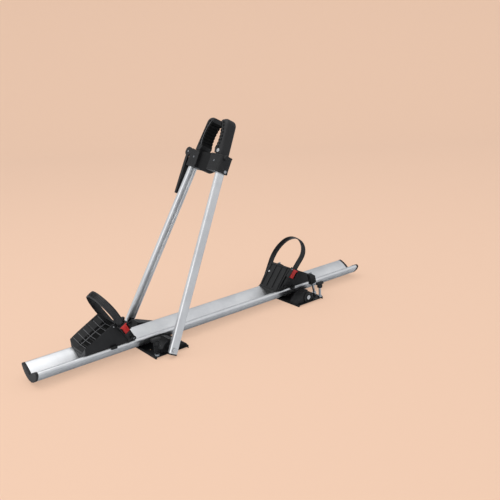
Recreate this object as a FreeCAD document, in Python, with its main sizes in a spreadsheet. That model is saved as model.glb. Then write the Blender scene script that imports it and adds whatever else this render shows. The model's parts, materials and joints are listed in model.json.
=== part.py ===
import FreeCAD, Part
import math
import os
import Sketcher
from FreeCAD import Placement, Rotation, Vector

# Bicycle carrier for a car's roof bars. A trough-shaped aluminium rail stands on two clamped
# feet. Two wheel cradles with ratchet straps sit in the rail, and an A-shaped frame arm with
# two clamping jaws folds about the front foot.
# Frame: X runs along the rail from its front end to its rear end, Y points to the far side,
# Z points up. The origin is at the middle of the rail, at the level on which the feet stand.

# Driving sizes in millimetres and degrees
SIZES = {
    # rail
    "rail_length": 1240.0,
    "rail_width": 96.0,
    "rail_height": 40.0,
    "crest_radius": 6.6,
    "crest_angle": 108.0,
    "flank_radius": 90.0,
    "valley_half": 3.0,
    "valley_drop": 22.2,
    "hull_radius": 50.0,
    "hull_rise": 1.0,
    "rail_wall": 2.2,
    "slot_width": 7.0,
    "slot_lip": 3.0,
    "channel_width": 13.0,
    "channel_height": 6.0,
    "chamber_rise": 1.5,
    "cap_thickness": 7.0,
    "cap_rim": 0.8,
    "cap_plug_length": 16.0,
    "cap_plug_clearance": 1.2,
    "cap_plug_reach": 37.0,
    "cap_plug_height": 8.0,
    "cut_margin": 1.0,
    # feet under the rail
    "front_foot_inset": 377.5,
    "rear_foot_inset": 299.5,
    "foot_length": 115.0,
    "foot_width": 224.0,
    "foot_height": 8.0,
    "plate_thickness": 3.0,
    "foot_gap": 0.2,
    "foot_corner": 5.0,
    "rail_bolt_spacing": 60.0,
    "rail_bolt_diameter": 6.0,
    "rail_bolt_head": 12.0,
    "rail_bolt_head_height": 4.0,
    "rail_nut_width": 10.0,
    "rail_nut_height": 4.4,
    "bolt_clearance": 0.3,
    "bar_bolt_along": 80.0,
    "bar_bolt_across": 112.0,
    "bar_bolt_hole": 8.5,
    "bar_pad_length": 68.0,
    "bar_pad_thickness": 4.0,
    "bar_pad_inner_y": 12.0,
    "bar_pad_outer_y": 50.0,
    # towers on the feet
    "tower_inner_y": 66.0,
    "tower_outer_y": 104.0,
    "tower_radius": 26.0,
    "tower_offset": 9.0,
    "tower_axis_height": 22.0,
    "tower_shoulder_angle": 38.0,
    "front_near_tail": 64.0,
    "front_far_tail": 82.0,
    "rear_tail": 48.0,
    "near_tail_height": 4.0,
    "far_tail_height": 9.0,
    "tower_ring_radius": 19.0,
    "tower_ring_inner_radius": 13.0,
    "tower_ring_height": 3.0,
    "tower_screw_diameter": 5.0,
    "tower_screw_head": 8.4,
    "tower_screw_depth": 16.0,
    "tower_screw_toe": 14.0,
    "tower_screw_tail": 22.0,
    "screw_clearance": 0.1,
    # studs and wing knobs
    "knob_offset": 48.5,
    "knob_inset": 8.0,
    "knob_bottom": 42.0,
    "knob_height": 20.0,
    "knob_hub_radius": 9.0,
    "knob_wing_reach": 16.0,
    "knob_wing_thickness": 8.0,
    "knob_wing_rise": 5.0,
    "stud_diameter": 8.0,
    "stud_top": 58.0,
    "stud_foot_radius": 7.0,
    "stud_foot_height": 5.0,
    "running_clearance": 0.08,
    # hook bolts of the rear foot
    "hook_bolt_offset": 47.0,
    "hook_bolt_y": 80.0,
    "hook_bolt_lean": 12.0,
    "hook_bolt_below": 4.0,
    "hook_bolt_length": 92.0,
    "hook_bolt_diameter": 8.0,
    "hook_bolt_hole": 11.0,
    "hook_cap_length": 24.0,
    "hook_cap_width": 13.0,
    "hook_cap_start": 48.0,
    "hook_cap_height": 38.0,
    "hook_cap_nose": 13.0,
    "hook_nut_width": 13.0,
    "hook_nut_start": 6.0,
    "hook_nut_height": 6.5,
    # arms that fold about the front foot
    "frame_lean": 27.4,
    "pivot_diameter": 8.0,
    "pivot_head_radius": 7.5,
    "pivot_head_height": 4.5,
    "pivot_head_gap": 1.4,
    "pivot_nut_width": 13.0,
    "pivot_nut_height": 6.5,
    "pivot_bush_radius": 8.0,
    "pivot_bush_gap": 1.6,
    "arm_foot_y": 130.0,
    "arm_head_y": 68.0,
    "arm_head_height": 543.0,
    "arm_below_pivot": 11.0,
    "arm_width": 29.0,
    "arm_thickness": 14.0,
    "arm_corner": 5.0,
    "arm_wall": 2.0,
    "arm_opening": 17.0,
    "plug_depth": 34.0,
    "plug_base": 4.0,
    "plug_clearance": 0.2,
    # clamping head
    "collar_grip": 13.0,
    "collar_rise": 39.0,
    "collar_inner_y": 30.0,
    "collar_outer_y": 82.0,
    "collar_depth": 46.0,
    "collar_corner": 11.0,
    "collar_clearance": 0.15,
    "rivet_offset": 7.0,
    "rivet_drop": 6.5,
    "rivet_diameter": 5.0,
    "rivet_head_radius": 4.5,
    "rivet_head_height": 1.6,
    "rivet_length": 16.0,
    "bridge_depth": 30.0,
    "bridge_drop": 3.0,
    "bridge_radius": 36.0,
    "rod_offset": -8.0,
    "rod_depth": 6.5,
    "rod_diameter": 6.0,
    "rod_hole": 10.0,
    "rod_nut_radius": 8.0,
    "rod_nut_height": 9.0,
    "rod_nut_corner": 3.0,
    "rod_eye_radius": 5.0,
    "rod_eye_width": 8.0,
    # jaws
    "jaw_pivot_y": 52.0,
    "jaw_pivot_rise": 17.0,
    "jaw_pin_diameter": 6.0,
    "jaw_tongue_radius": 12.0,
    "jaw_tongue_depth": 28.0,
    "jaw_slot_clearance": 0.8,
    "jaw_swing": 6.5,
    "jaw_gap": 2.4,
    "jaw_depth": 40.0,
    "jaw_base_inner_y": 37.5,
    "jaw_crown_y": 34.0,
    "jaw_crown_rise": 88.0,
    "jaw_crown_radius": 20.0,
    "jaw_back_angle": 8.0,
    "jaw_nose_angle": 100.0,
    "jaw_nose_length": 9.5,
    "jaw_edge": 11.0,
    "mouth_centre_y": -60.0,
    "mouth_rise": 40.0,
    "mouth_radius": 95.0,
    "mouth_low_angle": -15.0,
    "mouth_high_angle": 33.0,
    "jaw_pad_thickness": 7.0,
    "jaw_pad_depth": 38.0,
    "jaw_notch_radius": 2.0,
    "jaw_notch_count": 7,
    "lock_inset": 2.0,
    "lock_rise": 8.0,
    "lock_radius": 5.5,
    "lock_depth": 12.0,
    "lock_proud": 1.0,
    "key_slot_width": 1.6,
    "key_slot_length": 7.0,
    "key_slot_depth": 4.0,
    # cam lever
    "lever_gap": 0.5,
    "lever_cam_radius": 14.0,
    "lever_width": 20.0,
    "lever_fork_width": 9.0,
    "lever_fork_depth": 18.0,
    "lever_length": 136.0,
    "lever_thickness": 12.0,
    "lever_tip_thickness": 8.0,
    "lever_tip_width": 13.0,
    "lever_pin_diameter": 5.0,
    # wheel cradles
    "front_cradle_inset": 296.0,
    "rear_cradle_inset": 398.0,
    "cradle_length": 158.0,
    "cradle_peak_x": 59.0,
    "cradle_peak_height": 122.0,
    "cradle_tip_height": 73.0,
    "cradle_base_half": 44.0,
    "cradle_top_half": 52.0,
    "cradle_wall": 4.0,
    "cradle_channel_depth": 24.0,
    "cradle_floor_half": 20.0,
    "cradle_gap": 0.4,
    "cradle_hook_length": 18.0,
    "cradle_hook_start": 62.0,
    "cradle_hook_thickness": 2.0,
    "cradle_hook_drop": 5.0,
    "cradle_rib_pitch": 24.0,
    "cradle_rib_width": 2.2,
    "cradle_rib_height": 1.6,
    "cradle_rib_count": 6,
    "cradle_ear_reach": 8.0,
    "cradle_ear_radius": 8.0,
    "cradle_hollow_half": 30.0,
    # straps
    "front_strap_offset": 7.0,
    "rear_strap_offset": -9.0,
    "strap_lean": 31.0,
    "strap_width": 22.0,
    "strap_thickness": 2.4,
    "strap_crown_y": -17.0,
    "strap_rise": 100.0,
    "strap_crown_radius": 62.0,
    "strap_crown_far_angle": 50.0,
    "strap_far_radius": 110.0,
    "strap_far_angle": 95.0,
    "strap_far_leg": 76.0,
    "strap_crown_near_angle": 50.0,
    "strap_near_radius": 48.0,
    "strap_near_angle": 103.0,
    "strap_near_leg": 117.0,
    "anchor_inset": 7.0,
    "anchor_diameter": 5.0,
    "anchor_head_radius": 5.0,
    "anchor_head_height": 1.8,
    "anchor_gap": 2.0,
    # ratchet buckles
    "buckle_position": 57.0,
    "buckle_length": 36.0,
    "buckle_width": 28.6,
    "buckle_wall": 2.0,
    "buckle_base": 2.4,
    "buckle_height": 8.4,
    "buckle_gap": 0.4,
    "release_length": 28.0,
    "release_width": 17.0,
    "release_thickness": 4.2,
    "release_gap": 0.5,
    "release_pin_diameter": 3.0,
    "release_hub_radius": 3.4,
}

document = FreeCAD.newDocument("BikeCarrier")
sheet = document.addObject("Spreadsheet::Sheet", "Sizes")


class Size:
    """A number together with the sheet expression that gives it."""

    def __init__(self, number, text):
        self.number = float(number)
        self.text = text

    def __float__(self):
        return self.number

    def __add__(self, other):
        other = as_size(other)
        return Size(self.number + other.number, f"({self.text} + {other.text})")

    def __radd__(self, other):
        return as_size(other) + self

    def __sub__(self, other):
        other = as_size(other)
        return Size(self.number - other.number, f"({self.text} - {other.text})")

    def __rsub__(self, other):
        return as_size(other) - self

    def __mul__(self, other):
        other = as_size(other)
        return Size(self.number * other.number, f"({self.text} * {other.text})")

    def __rmul__(self, other):
        return as_size(other) * self

    def __truediv__(self, other):
        other = as_size(other)
        return Size(self.number / other.number, f"({self.text} / {other.text})")

    def __neg__(self):
        return Size(-self.number, f"(-1 * {self.text})")


def as_size(value):
    if isinstance(value, Size):
        return value
    return Size(value, f"({float(value):.6f})")


def sine(angle):
    angle = as_size(angle)
    return Size(math.sin(math.radians(angle.number)), f"sin({angle.text} * 1 deg)")


def cosine(angle):
    angle = as_size(angle)
    return Size(math.cos(math.radians(angle.number)), f"cos({angle.text} * 1 deg)")


def root(value):
    value = as_size(value)
    return Size(math.sqrt(value.number), f"sqrt({value.text})")


class SheetSizes:
    """The sheet's sizes as attributes."""


size = SheetSizes()
for row, (name, number) in enumerate(SIZES.items(), start=1):
    sheet.set(f"A{row}", name)
    sheet.set(f"B{row}", str(number))
    sheet.setAlias(f"B{row}", name)
    setattr(size, name, Size(number, f"Sizes.{name}"))
document.recompute()

# how far apart two points may be and still count as one place
SAME_PLACE = 0.01

NEAR = -1
FAR = 1
SIDES = (("near", NEAR), ("far", FAR))
nodes = []


def node(thing, label):
    """Keeps a finished sub-part under the name of its file."""
    thing.Label = label
    nodes.append(thing)
    return thing


def bind(thing, name, value):
    """Gives a property its value from the sheet."""
    thing.setExpression(name, as_size(value).text)


def place(thing, at=(0, 0, 0), axis=None, angle=0):
    """Binds a position to the sheet, with an optional turn about an axis."""
    if axis is not None:
        thing.Placement = Placement(Vector(0, 0, 0), Rotation(Vector(*axis), float(angle)))
        bind(thing, "Placement.Rotation.Angle", angle)
    for letter, value in zip("xyz", at):
        bind(thing, f"Placement.Base.{letter}", value)
    return thing


def box(name, length, width, height, at):
    thing = document.addObject("Part::Box", name)
    bind(thing, "Length", length)
    bind(thing, "Width", width)
    bind(thing, "Height", height)
    return place(thing, at)


TURNS = {"Z": (None, 0), "X": ((0, 1, 0), 90), "Y": ((-1, 0, 0), 90)}


def cylinder(name, radius, height, at, direction="Z"):
    """A round bar from a point along +X, +Y or +Z."""
    thing = document.addObject("Part::Cylinder", name)
    bind(thing, "Radius", radius)
    bind(thing, "Height", height)
    axis, angle = TURNS[direction]
    return place(thing, at, axis, angle)


def hexagon(name, across_flats, height, at, direction="Z"):
    thing = document.addObject("Part::Prism", name)
    thing.Polygon = 6
    bind(thing, "Circumradius", as_size(across_flats) / math.sqrt(3))
    bind(thing, "Height", height)
    axis, angle = TURNS[direction]
    return place(thing, at, axis, angle)


def fuse(name, *things):
    thing = document.addObject("Part::MultiFuse", name)
    thing.Shapes = list(things)
    thing.Refine = True
    return thing


def cut(name, base, *tools):
    thing = document.addObject("Part::Cut", name)
    thing.Base = base
    thing.Tool = tools[0] if len(tools) == 1 else fuse(name + "_tools", *tools)
    thing.Refine = True
    return thing


def group(name, things):
    """Separate solids that share one node."""
    thing = document.addObject("Part::Compound", name)
    thing.Links = list(things)
    return thing


def new_body(name):
    return document.addObject("PartDesign::Body", name)


def draw(body, name, plane, outlines, start=0):
    """A fully dimensioned sketch of closed outlines on an origin plane or beside it.

    A corner is (across, up) or (across, up, radius): the radius belongs to the arc that runs
    from this corner to the next one, and it bulges to the left of the way when it is positive.
    A single corner (across, up, radius) is a circle.
    """
    sketch = body.newObject("Sketcher::SketchObject", name)
    origin = next(item for item in body.Origin.OriginFeatures if item.Role == plane)
    sketch.AttachmentSupport = [(origin, "")]
    sketch.MapMode = "FlatFace"
    bind(sketch, "AttachmentOffset.Base.z", -as_size(start) if plane == "XZ_Plane" else start)
    for outline in outlines:
        if len(outline) == 1:
            draw_circle(sketch, *outline[0])
        else:
            draw_outline(sketch, outline)
    return sketch


def pin_down(sketch, item, end, across, up):
    for kind, value in (("DistanceX", as_size(across)), ("DistanceY", as_size(up))):
        index = sketch.addConstraint(Sketcher.Constraint(kind, -1, 1, item, end, value.number))
        sketch.setExpression(f"Constraints[{index}]", value.text)


def set_radius(sketch, item, radius):
    index = sketch.addConstraint(Sketcher.Constraint("Radius", item, radius.number))
    sketch.setExpression(f"Constraints[{index}]", radius.text)


def draw_circle(sketch, across, up, radius):
    radius = as_size(radius)
    centre = Vector(float(across), float(up), 0)
    item = sketch.addGeometry(Part.Circle(centre, Vector(0, 0, 1), radius.number), False)
    pin_down(sketch, item, 3, across, up)
    set_radius(sketch, item, radius)


def draw_outline(sketch, outline):
    ends = []
    arcs = []
    for corner, following in zip(outline, outline[1:] + outline[:1]):
        start = Vector(float(corner[0]), float(corner[1]), 0)
        finish = Vector(float(following[0]), float(following[1]), 0)
        if len(corner) == 3:
            radius = as_size(corner[2])
            half = (finish - start) * 0.5
            left = Vector(-half.y, half.x, 0).normalize()
            rise = math.sqrt(radius.number ** 2 - half.Length ** 2)
            bulge = math.copysign(abs(radius.number) - rise, radius.number)
            arc = Part.Arc(start, start + half + left * bulge, finish)
            item = sketch.addGeometry(arc, False)
            ends.append((item, 2, 1) if radius.number > 0 else (item, 1, 2))
            arcs.append((item, radius if radius.number > 0 else -radius))
        else:
            item = sketch.addGeometry(Part.LineSegment(start, finish), False)
            ends.append((item, 1, 2))
    for (item, _, last), (following, first, _) in zip(ends, ends[1:] + ends[:1]):
        sketch.addConstraint(Sketcher.Constraint("Coincident", item, last, following, first))
    for corner, (item, first, _) in zip(outline, ends):
        pin_down(sketch, item, first, corner[0], corner[1])
    for item, radius in arcs:
        set_radius(sketch, item, radius)


def solid(body, name, plane, outlines, start, length):
    """Adds a prism that runs from a level along the plane's positive axis."""
    feature = body.newObject("PartDesign::Pad", name)
    feature.Profile = draw(body, name + "_outline", plane, outlines, start)
    feature.Reversed = plane == "XZ_Plane"
    bind(feature, "Length", length)
    body.Tip = feature
    return feature


def hollow(body, name, plane, outlines, start, length):
    """Cuts a prism that runs from a level along the plane's positive axis."""
    feature = body.newObject("PartDesign::Pocket", name)
    feature.Profile = draw(body, name + "_outline", plane, outlines, start)
    feature.Reversed = plane != "XZ_Plane"
    bind(feature, "Length", length)
    body.Tip = feature
    return feature


def round_off(body, name, radius, wanted):
    """Rounds the edges of the body's last feature that a test picks."""
    document.recompute()
    base = body.Tip
    edges = [f"Edge{index}" for index, edge in enumerate(base.Shape.Edges, start=1) if wanted(edge)]
    feature = body.newObject("PartDesign::Fillet", name)
    feature.Base = (base, edges)
    bind(feature, "Radius", radius)
    body.Tip = feature
    return feature


def is_straight_along(edge, direction):
    if edge.Curve.TypeId != "Part::GeomLine":
        return False
    return abs(edge.Curve.Direction.dot(Vector(*direction))) > 0.999


def rectangle(left, low, right, high):
    return [(left, low), (right, low), (right, high), (left, high)]


# Rail

rail_bottom = size.foot_height + size.foot_gap
rail_top = rail_bottom + size.rail_height
channel_floor = rail_bottom + size.slot_lip
channel_half = size.channel_width / 2
spine_half = channel_half + size.rail_wall
crest_y = size.rail_width / 2 - size.crest_radius
crest_z = rail_top - size.crest_radius
valley_z = rail_top - size.valley_drop
chamber_low = rail_bottom + size.hull_rise + size.rail_wall
chamber_high = valley_z + size.chamber_rise


def crest_end(offset):
    """Where a crest's round top, or a line beside it, goes over into the flank of the trough."""
    reach = size.crest_radius + offset
    return (crest_y + reach * cosine(size.crest_angle), crest_z + reach * sine(size.crest_angle))


def rail_edge(offset):
    """The rail's outer line, or one beside it, from the far foot of its spine to the near one."""
    hull = size.hull_radius + offset
    crest = size.crest_radius + offset
    flank = size.flank_radius + offset
    low = rail_bottom + size.hull_rise
    inner_y, inner_z = crest_end(offset)
    valley = valley_z + offset * 2
    return [
        (spine_half + offset, low, -hull),
        (crest_y + crest, crest_z, -crest),
        (inner_y, inner_z, -flank),
        (size.valley_half, valley),
        (-size.valley_half, valley, -flank),
        (-inner_y, inner_z, -crest),
        (-(crest_y + crest), crest_z, -hull),
        (-(spine_half + offset), low),
    ]


def chamber(side):
    """The hollow inside one of the rail's two lobes."""
    wall = size.rail_wall
    crest = size.crest_radius - wall
    inner_y, inner_z = crest_end(-wall)
    return [
        (side * spine_half, chamber_low, -side * (size.hull_radius - wall)),
        (side * (crest_y + crest), crest_z, -side * crest),
        (side * inner_y, inner_z, -side * (size.flank_radius - wall)),
        (side * spine_half, chamber_high),
    ]


def build_rail():
    """The extruded rail: a valley between two hollow round-topped lobes, over a T slot."""
    body = new_body("wheel_rail")
    slot_half = size.slot_width / 2
    channel_top = channel_floor + size.channel_height
    section = [
        (slot_half, channel_floor),
        (slot_half, rail_bottom),
        (spine_half, rail_bottom),
        *rail_edge(as_size(0)),
        (-spine_half, rail_bottom),
        (-slot_half, rail_bottom),
        (-slot_half, channel_floor),
        (-channel_half, channel_floor),
        (-channel_half, channel_top),
        (channel_half, channel_top),
        (channel_half, channel_floor),
    ]
    outlines = [section, chamber(NEAR), chamber(FAR)]
    solid(body, "rail_extrusion", "YZ_Plane", outlines, -size.rail_length / 2, size.rail_length)
    node(body, "wheel_rail")


def build_end_caps():
    """Moulded plates that close the rail's ends, with plugs for its two chambers."""
    rim = size.cap_rim
    inset = size.cap_plug_clearance
    outline = [
        (spine_half + rim, rail_bottom),
        *rail_edge(rim),
        (-(spine_half + rim), rail_bottom),
    ]
    for word, side in (("front", -1), ("rear", 1)):
        label = "end_cap_" + word
        body = new_body(label)
        end = side * size.rail_length / 2
        plate_start = end if side > 0 else end - size.cap_thickness
        plug_start = end - size.cap_plug_length if side > 0 else end
        solid(body, label + "_plate", "YZ_Plane", [outline], plate_start, size.cap_thickness)
        plugs = [
            [
                (way * (spine_half + inset), chamber_low + inset),
                (way * size.cap_plug_reach, crest_z - size.cap_plug_height),
                (way * size.cap_plug_reach, crest_z),
                (way * (spine_half + inset), chamber_high - inset),
            ]
            for way in (NEAR, FAR)
        ]
        solid(body, label + "_plugs", "YZ_Plane", plugs, plug_start, size.cap_plug_length)
        node(body, label)


# Feet

plate_top = size.foot_height
plate_bottom = plate_top - size.plate_thickness
tower_middle = (size.tower_inner_y + size.tower_outer_y) / 2
FEET = {
    "front": (size.front_foot_inset - size.rail_length / 2, -1),
    "rear": (size.rail_length / 2 - size.rear_foot_inset, 1),
}


def tower_screw_points(word):
    foot_x, outward = FEET[word]
    boss_x = foot_x - size.tower_offset
    return [
        (boss_x + outward * size.tower_screw_toe, tower_middle),
        (boss_x - outward * size.tower_screw_tail, tower_middle),
    ]


def countersunk(name, x, y, clearance):
    """A countersunk screw from the saddle's underside into a tower, or the hole for it."""
    thing = document.addObject("Part::Cone", name + "_head")
    bind(thing, "Radius1", size.tower_screw_head / 2 + clearance)
    bind(thing, "Radius2", size.tower_screw_diameter / 2 + clearance)
    bind(thing, "Height", size.plate_thickness - size.foot_gap)
    place(thing, (x, y, plate_bottom))
    shank = cylinder(
        name + "_shank",
        size.tower_screw_diameter / 2 + clearance,
        size.plate_thickness + size.tower_screw_depth + clearance,
        (x, y, plate_bottom),
    )
    return fuse(name, thing, shank)


def build_saddle(word):
    """A pressed steel saddle that runs across under the rail."""
    foot_x = FEET[word][0]
    label = word + "_saddle"
    body = new_body(label + "_pressing")
    half = size.foot_length / 2
    wall = size.plate_thickness
    profile = [
        (-half, 0),
        (-half + wall, 0),
        (-half + wall, plate_bottom),
        (half - wall, plate_bottom),
        (half - wall, 0),
        (half, 0),
        (half, plate_top),
        (-half, plate_top),
    ]
    start = -size.foot_width / 2
    solid(body, label + "_channel", "XZ_Plane", [profile], start, size.foot_width)
    holes = [
        [(way * size.rail_bolt_spacing / 2, 0, size.rail_bolt_diameter / 2 + size.bolt_clearance)]
        for way in (-1, 1)
    ]
    for way in (-1, 1):
        for side in (NEAR, FAR):
            x = way * size.bar_bolt_along / 2
            y = side * size.bar_bolt_across / 2
            holes.append([(x, y, size.bar_bolt_hole / 2)])
    if word == "rear":
        for side in (NEAR, FAR):
            hole = (size.hook_bolt_offset, side * size.hook_bolt_y, size.hook_bolt_hole / 2)
            holes.append([hole])
    hollow(body, label + "_drilling", "XY_Plane", holes, 0, plate_top * 2)
    round_off(body, label + "_corners", size.foot_corner, is_plate_corner)
    place(body, (foot_x, 0, 0))
    tools = []
    for x, y in tower_screw_points(word):
        for side in (NEAR, FAR):
            name = f"{label}_countersink_{len(tools)}"
            tools.append(countersunk(name, x, side * y, size.screw_clearance))
    node(cut(label, body, *tools), label)


def is_plate_corner(edge):
    """The short upright edges at the outer corners of a saddle."""
    middle = edge.CenterOfMass
    at_end = abs(abs(middle.x) - float(size.foot_length) / 2) < SAME_PLACE
    at_side = abs(abs(middle.y) - float(size.foot_width) / 2) < SAME_PLACE
    return at_end and at_side and is_straight_along(edge, (0, 0, 1))


def build_bar_pads(word):
    """Rubber pads that rest on the roof bar."""
    foot_x = FEET[word][0]
    pads = []
    for side_word, side in SIDES:
        edge = size.bar_pad_inner_y if side == FAR else -size.bar_pad_outer_y
        at = (foot_x - size.bar_pad_length / 2, edge, plate_bottom - size.bar_pad_thickness)
        width = size.bar_pad_outer_y - size.bar_pad_inner_y
        name = f"{word}_bar_pad_{side_word}"
        pads.append(box(name, size.bar_pad_length, width, size.bar_pad_thickness, at))
    node(group(word + "_bar_pads", pads), word + "_bar_pads")


def build_rail_bolts(word):
    """Square-headed bolts in the rail's T slot, and their nuts under the saddle."""
    foot_x = FEET[word][0]
    bolts = []
    nuts = []
    head = size.rail_bolt_head
    for index, way in enumerate((-1, 1)):
        x = foot_x + way * size.rail_bolt_spacing / 2
        head_z = channel_floor + size.foot_gap
        top = box(
            f"{word}_bolt_head_{index}",
            head,
            head,
            size.rail_bolt_head_height,
            (x - head / 2, -head / 2, head_z),
        )
        shank = cylinder(
            f"{word}_bolt_shank_{index}",
            size.rail_bolt_diameter / 2,
            head_z,
            (x, 0, size.foot_gap),
        )
        bolts.append(fuse(f"{word}_rail_bolt_{index}", top, shank))
        blank = hexagon(
            f"{word}_nut_blank_{index}",
            size.rail_nut_width,
            size.rail_nut_height,
            (x, 0, plate_bottom - size.rail_nut_height),
        )
        radius = size.rail_bolt_diameter / 2
        bore = cylinder(f"{word}_nut_bore_{index}", radius, plate_top, (x, 0, 0))
        nuts.append(cut(f"{word}_rail_nut_{index}", blank, bore))
    node(group(word + "_rail_bolts", bolts), word + "_rail_bolts")
    node(group(word + "_rail_nuts", nuts), word + "_rail_nuts")


# how far a tower's tail reaches from its boss, and how high it ends
TAILS = {
    ("front", NEAR): (size.front_near_tail, size.near_tail_height),
    ("front", FAR): (size.front_far_tail, size.far_tail_height),
    ("rear", NEAR): (size.rear_tail, size.near_tail_height),
    ("rear", FAR): (size.rear_tail, size.far_tail_height),
}


def build_towers(word):
    """Moulded towers on both ends of a saddle, each with a round boss and a sloping tail."""
    foot_x, outward = FEET[word]
    boss_x = foot_x - size.tower_offset
    radius = size.tower_radius
    axis = size.tower_axis_height
    angle = size.tower_shoulder_angle
    width = size.tower_outer_y - size.tower_inner_y
    bore_radius = size.pivot_diameter / 2 + size.bolt_clearance
    for side_word, side in SIDES:
        label = f"{word}_tower_{side_word}"
        body = new_body(label + "_moulding")
        tail, tail_height = TAILS[word, side]
        outline = [
            (outward * radius, plate_top),
            (outward * radius, axis, outward * radius),
            (0, axis + radius, outward * radius),
            (-outward * radius * sine(angle), axis + radius * cosine(angle)),
            (-outward * tail, plate_top + tail_height),
            (-outward * tail, plate_top),
        ]
        start = size.tower_inner_y if side == FAR else -size.tower_outer_y
        solid(body, label + "_block", "XZ_Plane", [outline], start, width)
        ring = [[(0, axis, size.tower_ring_radius)], [(0, axis, size.tower_ring_inner_radius)]]
        ring_start = size.tower_outer_y
        if side == NEAR:
            ring_start = -size.tower_outer_y - size.tower_ring_height
        solid(body, label + "_ring", "XZ_Plane", ring, ring_start, size.tower_ring_height)
        below = rectangle(-radius, axis - radius * 2, radius, plate_top)
        hollow(body, label + "_seat", "XZ_Plane", [below], ring_start, size.tower_ring_height)
        bore = [[(0, axis, bore_radius)]]
        hollow(body, label + "_bore", "XZ_Plane", bore, start, width)
        place(body, (boss_x, 0, 0))
        tools = []
        for x, y in tower_screw_points(word):
            name = f"{label}_screw_hole_{len(tools)}"
            tools.append(countersunk(name, x, side * y, size.screw_clearance))
        node(cut(label, body, *tools), label)
    screws = []
    for x, y in tower_screw_points(word):
        for side in (NEAR, FAR):
            screws.append(countersunk(f"{word}_tower_screw_{len(screws)}", x, side * y, 0))
    node(group(word + "_tower_screws", screws), word + "_tower_screws")


def build_knobs(word):
    """Wing knobs that turn on upright studs."""
    foot_x, outward = FEET[word]
    x = foot_x + outward * size.knob_offset
    studs = []
    for side_word, side in SIDES:
        y = side * (size.foot_width / 2 - size.knob_inset)
        name = f"{word}_stud_{side_word}"
        radius = size.stud_diameter / 2
        bar = cylinder(name + "_bar", radius, size.stud_top - plate_top, (x, y, plate_top))
        foot = cylinder(
            name + "_foot",
            size.stud_foot_radius,
            size.stud_foot_height,
            (x, y, plate_top),
        )
        studs.append(fuse(name, bar, foot))

        label = f"{word}_knob_{side_word}"
        body = new_body(label)
        hub = [[(0, 0, size.knob_hub_radius)]]
        solid(body, label + "_hub", "XY_Plane", hub, 0, size.knob_height)
        half = size.knob_wing_thickness / 2
        straight = size.knob_wing_reach - half
        wing = [
            (-straight, -half),
            (straight, -half, -half),
            (size.knob_wing_reach, 0, -half),
            (straight, half),
            (-straight, half, -half),
            (-size.knob_wing_reach, 0, -half),
        ]
        wing_height = size.knob_height - size.knob_wing_rise
        solid(body, label + "_wings", "XY_Plane", [wing], size.knob_wing_rise, wing_height)
        bore = [[(0, 0, radius + size.running_clearance)]]
        depth = size.stud_top + size.cut_margin - size.knob_bottom
        hollow(body, label + "_bore", "XY_Plane", bore, 0, depth)
        place(body, (x, y, size.knob_bottom))
        node(body, label)
    node(group(word + "_studs", studs), word + "_studs")


def build_rear_tower_bolts():
    """Bolts through the rear towers, with round heads in the boss rings."""
    boss_x = FEET["rear"][0] - size.tower_offset
    bolts = []
    for side_word, side in SIDES:
        name = "rear_tower_bolt_" + side_word
        inner = size.tower_inner_y
        length = size.tower_outer_y - inner
        start = inner if side == FAR else -size.tower_outer_y
        shank = cylinder(
            name + "_shank",
            size.pivot_diameter / 2,
            length,
            (boss_x, start, size.tower_axis_height),
            "Y",
        )
        head_start = size.tower_outer_y
        if side == NEAR:
            head_start = -size.tower_outer_y - size.pivot_head_height
        head = cylinder(
            name + "_head",
            size.pivot_head_radius,
            size.pivot_head_height,
            (boss_x, head_start, size.tower_axis_height),
            "Y",
        )
        bolts.append(fuse(name, shank, head))
    node(group("rear_tower_bolts", bolts), "rear_tower_bolts")


def build_hook_bolts():
    """Leaning bolts of the rear foot with their nuts and the moulded hooks on them."""
    x = FEET["rear"][0] + size.hook_bolt_offset
    radius = size.hook_bolt_diameter / 2
    bolts = []
    nuts = []
    caps = []
    for side_word, side in SIDES:
        at = (x, side * size.hook_bolt_y, plate_top)
        bolt = new_body("hook_bolt_" + side_word)
        bar = [[(0, 0, radius)]]
        start = -size.hook_bolt_below
        solid(bolt, f"hook_bolt_{side_word}_bar", "XY_Plane", bar, start, size.hook_bolt_length)
        bolts.append(place(bolt, at, (0, -1, 0), size.hook_bolt_lean))

        nut = new_body("hook_nut_" + side_word)
        corner = size.hook_nut_width / math.sqrt(3)
        flats = [
            (corner * math.cos(math.radians(60 * step)), corner * math.sin(math.radians(60 * step)))
            for step in range(6)
        ]
        ring = [flats, [(0, 0, radius)]]
        start = size.hook_nut_start
        solid(nut, f"hook_nut_{side_word}_ring", "XY_Plane", ring, start, size.hook_nut_height)
        nuts.append(place(nut, at, (0, -1, 0), size.hook_bolt_lean))

        cap = new_body("hook_cap_" + side_word)
        half = size.hook_cap_length / 2
        top = size.hook_cap_start + size.hook_cap_height
        profile = [
            (-half, size.hook_cap_start),
            (half, size.hook_cap_start),
            (half, top - size.hook_cap_nose),
            (half - size.hook_cap_nose, top),
            (-half, top),
        ]
        width = size.hook_cap_width
        solid(cap, f"hook_cap_{side_word}_block", "XZ_Plane", [profile], -width / 2, width)
        bore = [[(0, 0, radius + size.running_clearance)]]
        hollow(cap, f"hook_cap_{side_word}_bore", "XY_Plane", bore, size.hook_cap_start, top)
        caps.append(place(cap, at, (0, -1, 0), size.hook_bolt_lean))
    node(group("hook_bolts", bolts), "hook_bolts")
    node(group("hook_nuts", nuts), "hook_nuts")
    node(group("hook_caps", caps), "hook_caps")


# Folding frame, drawn upright about its pivot and then leant back

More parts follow.
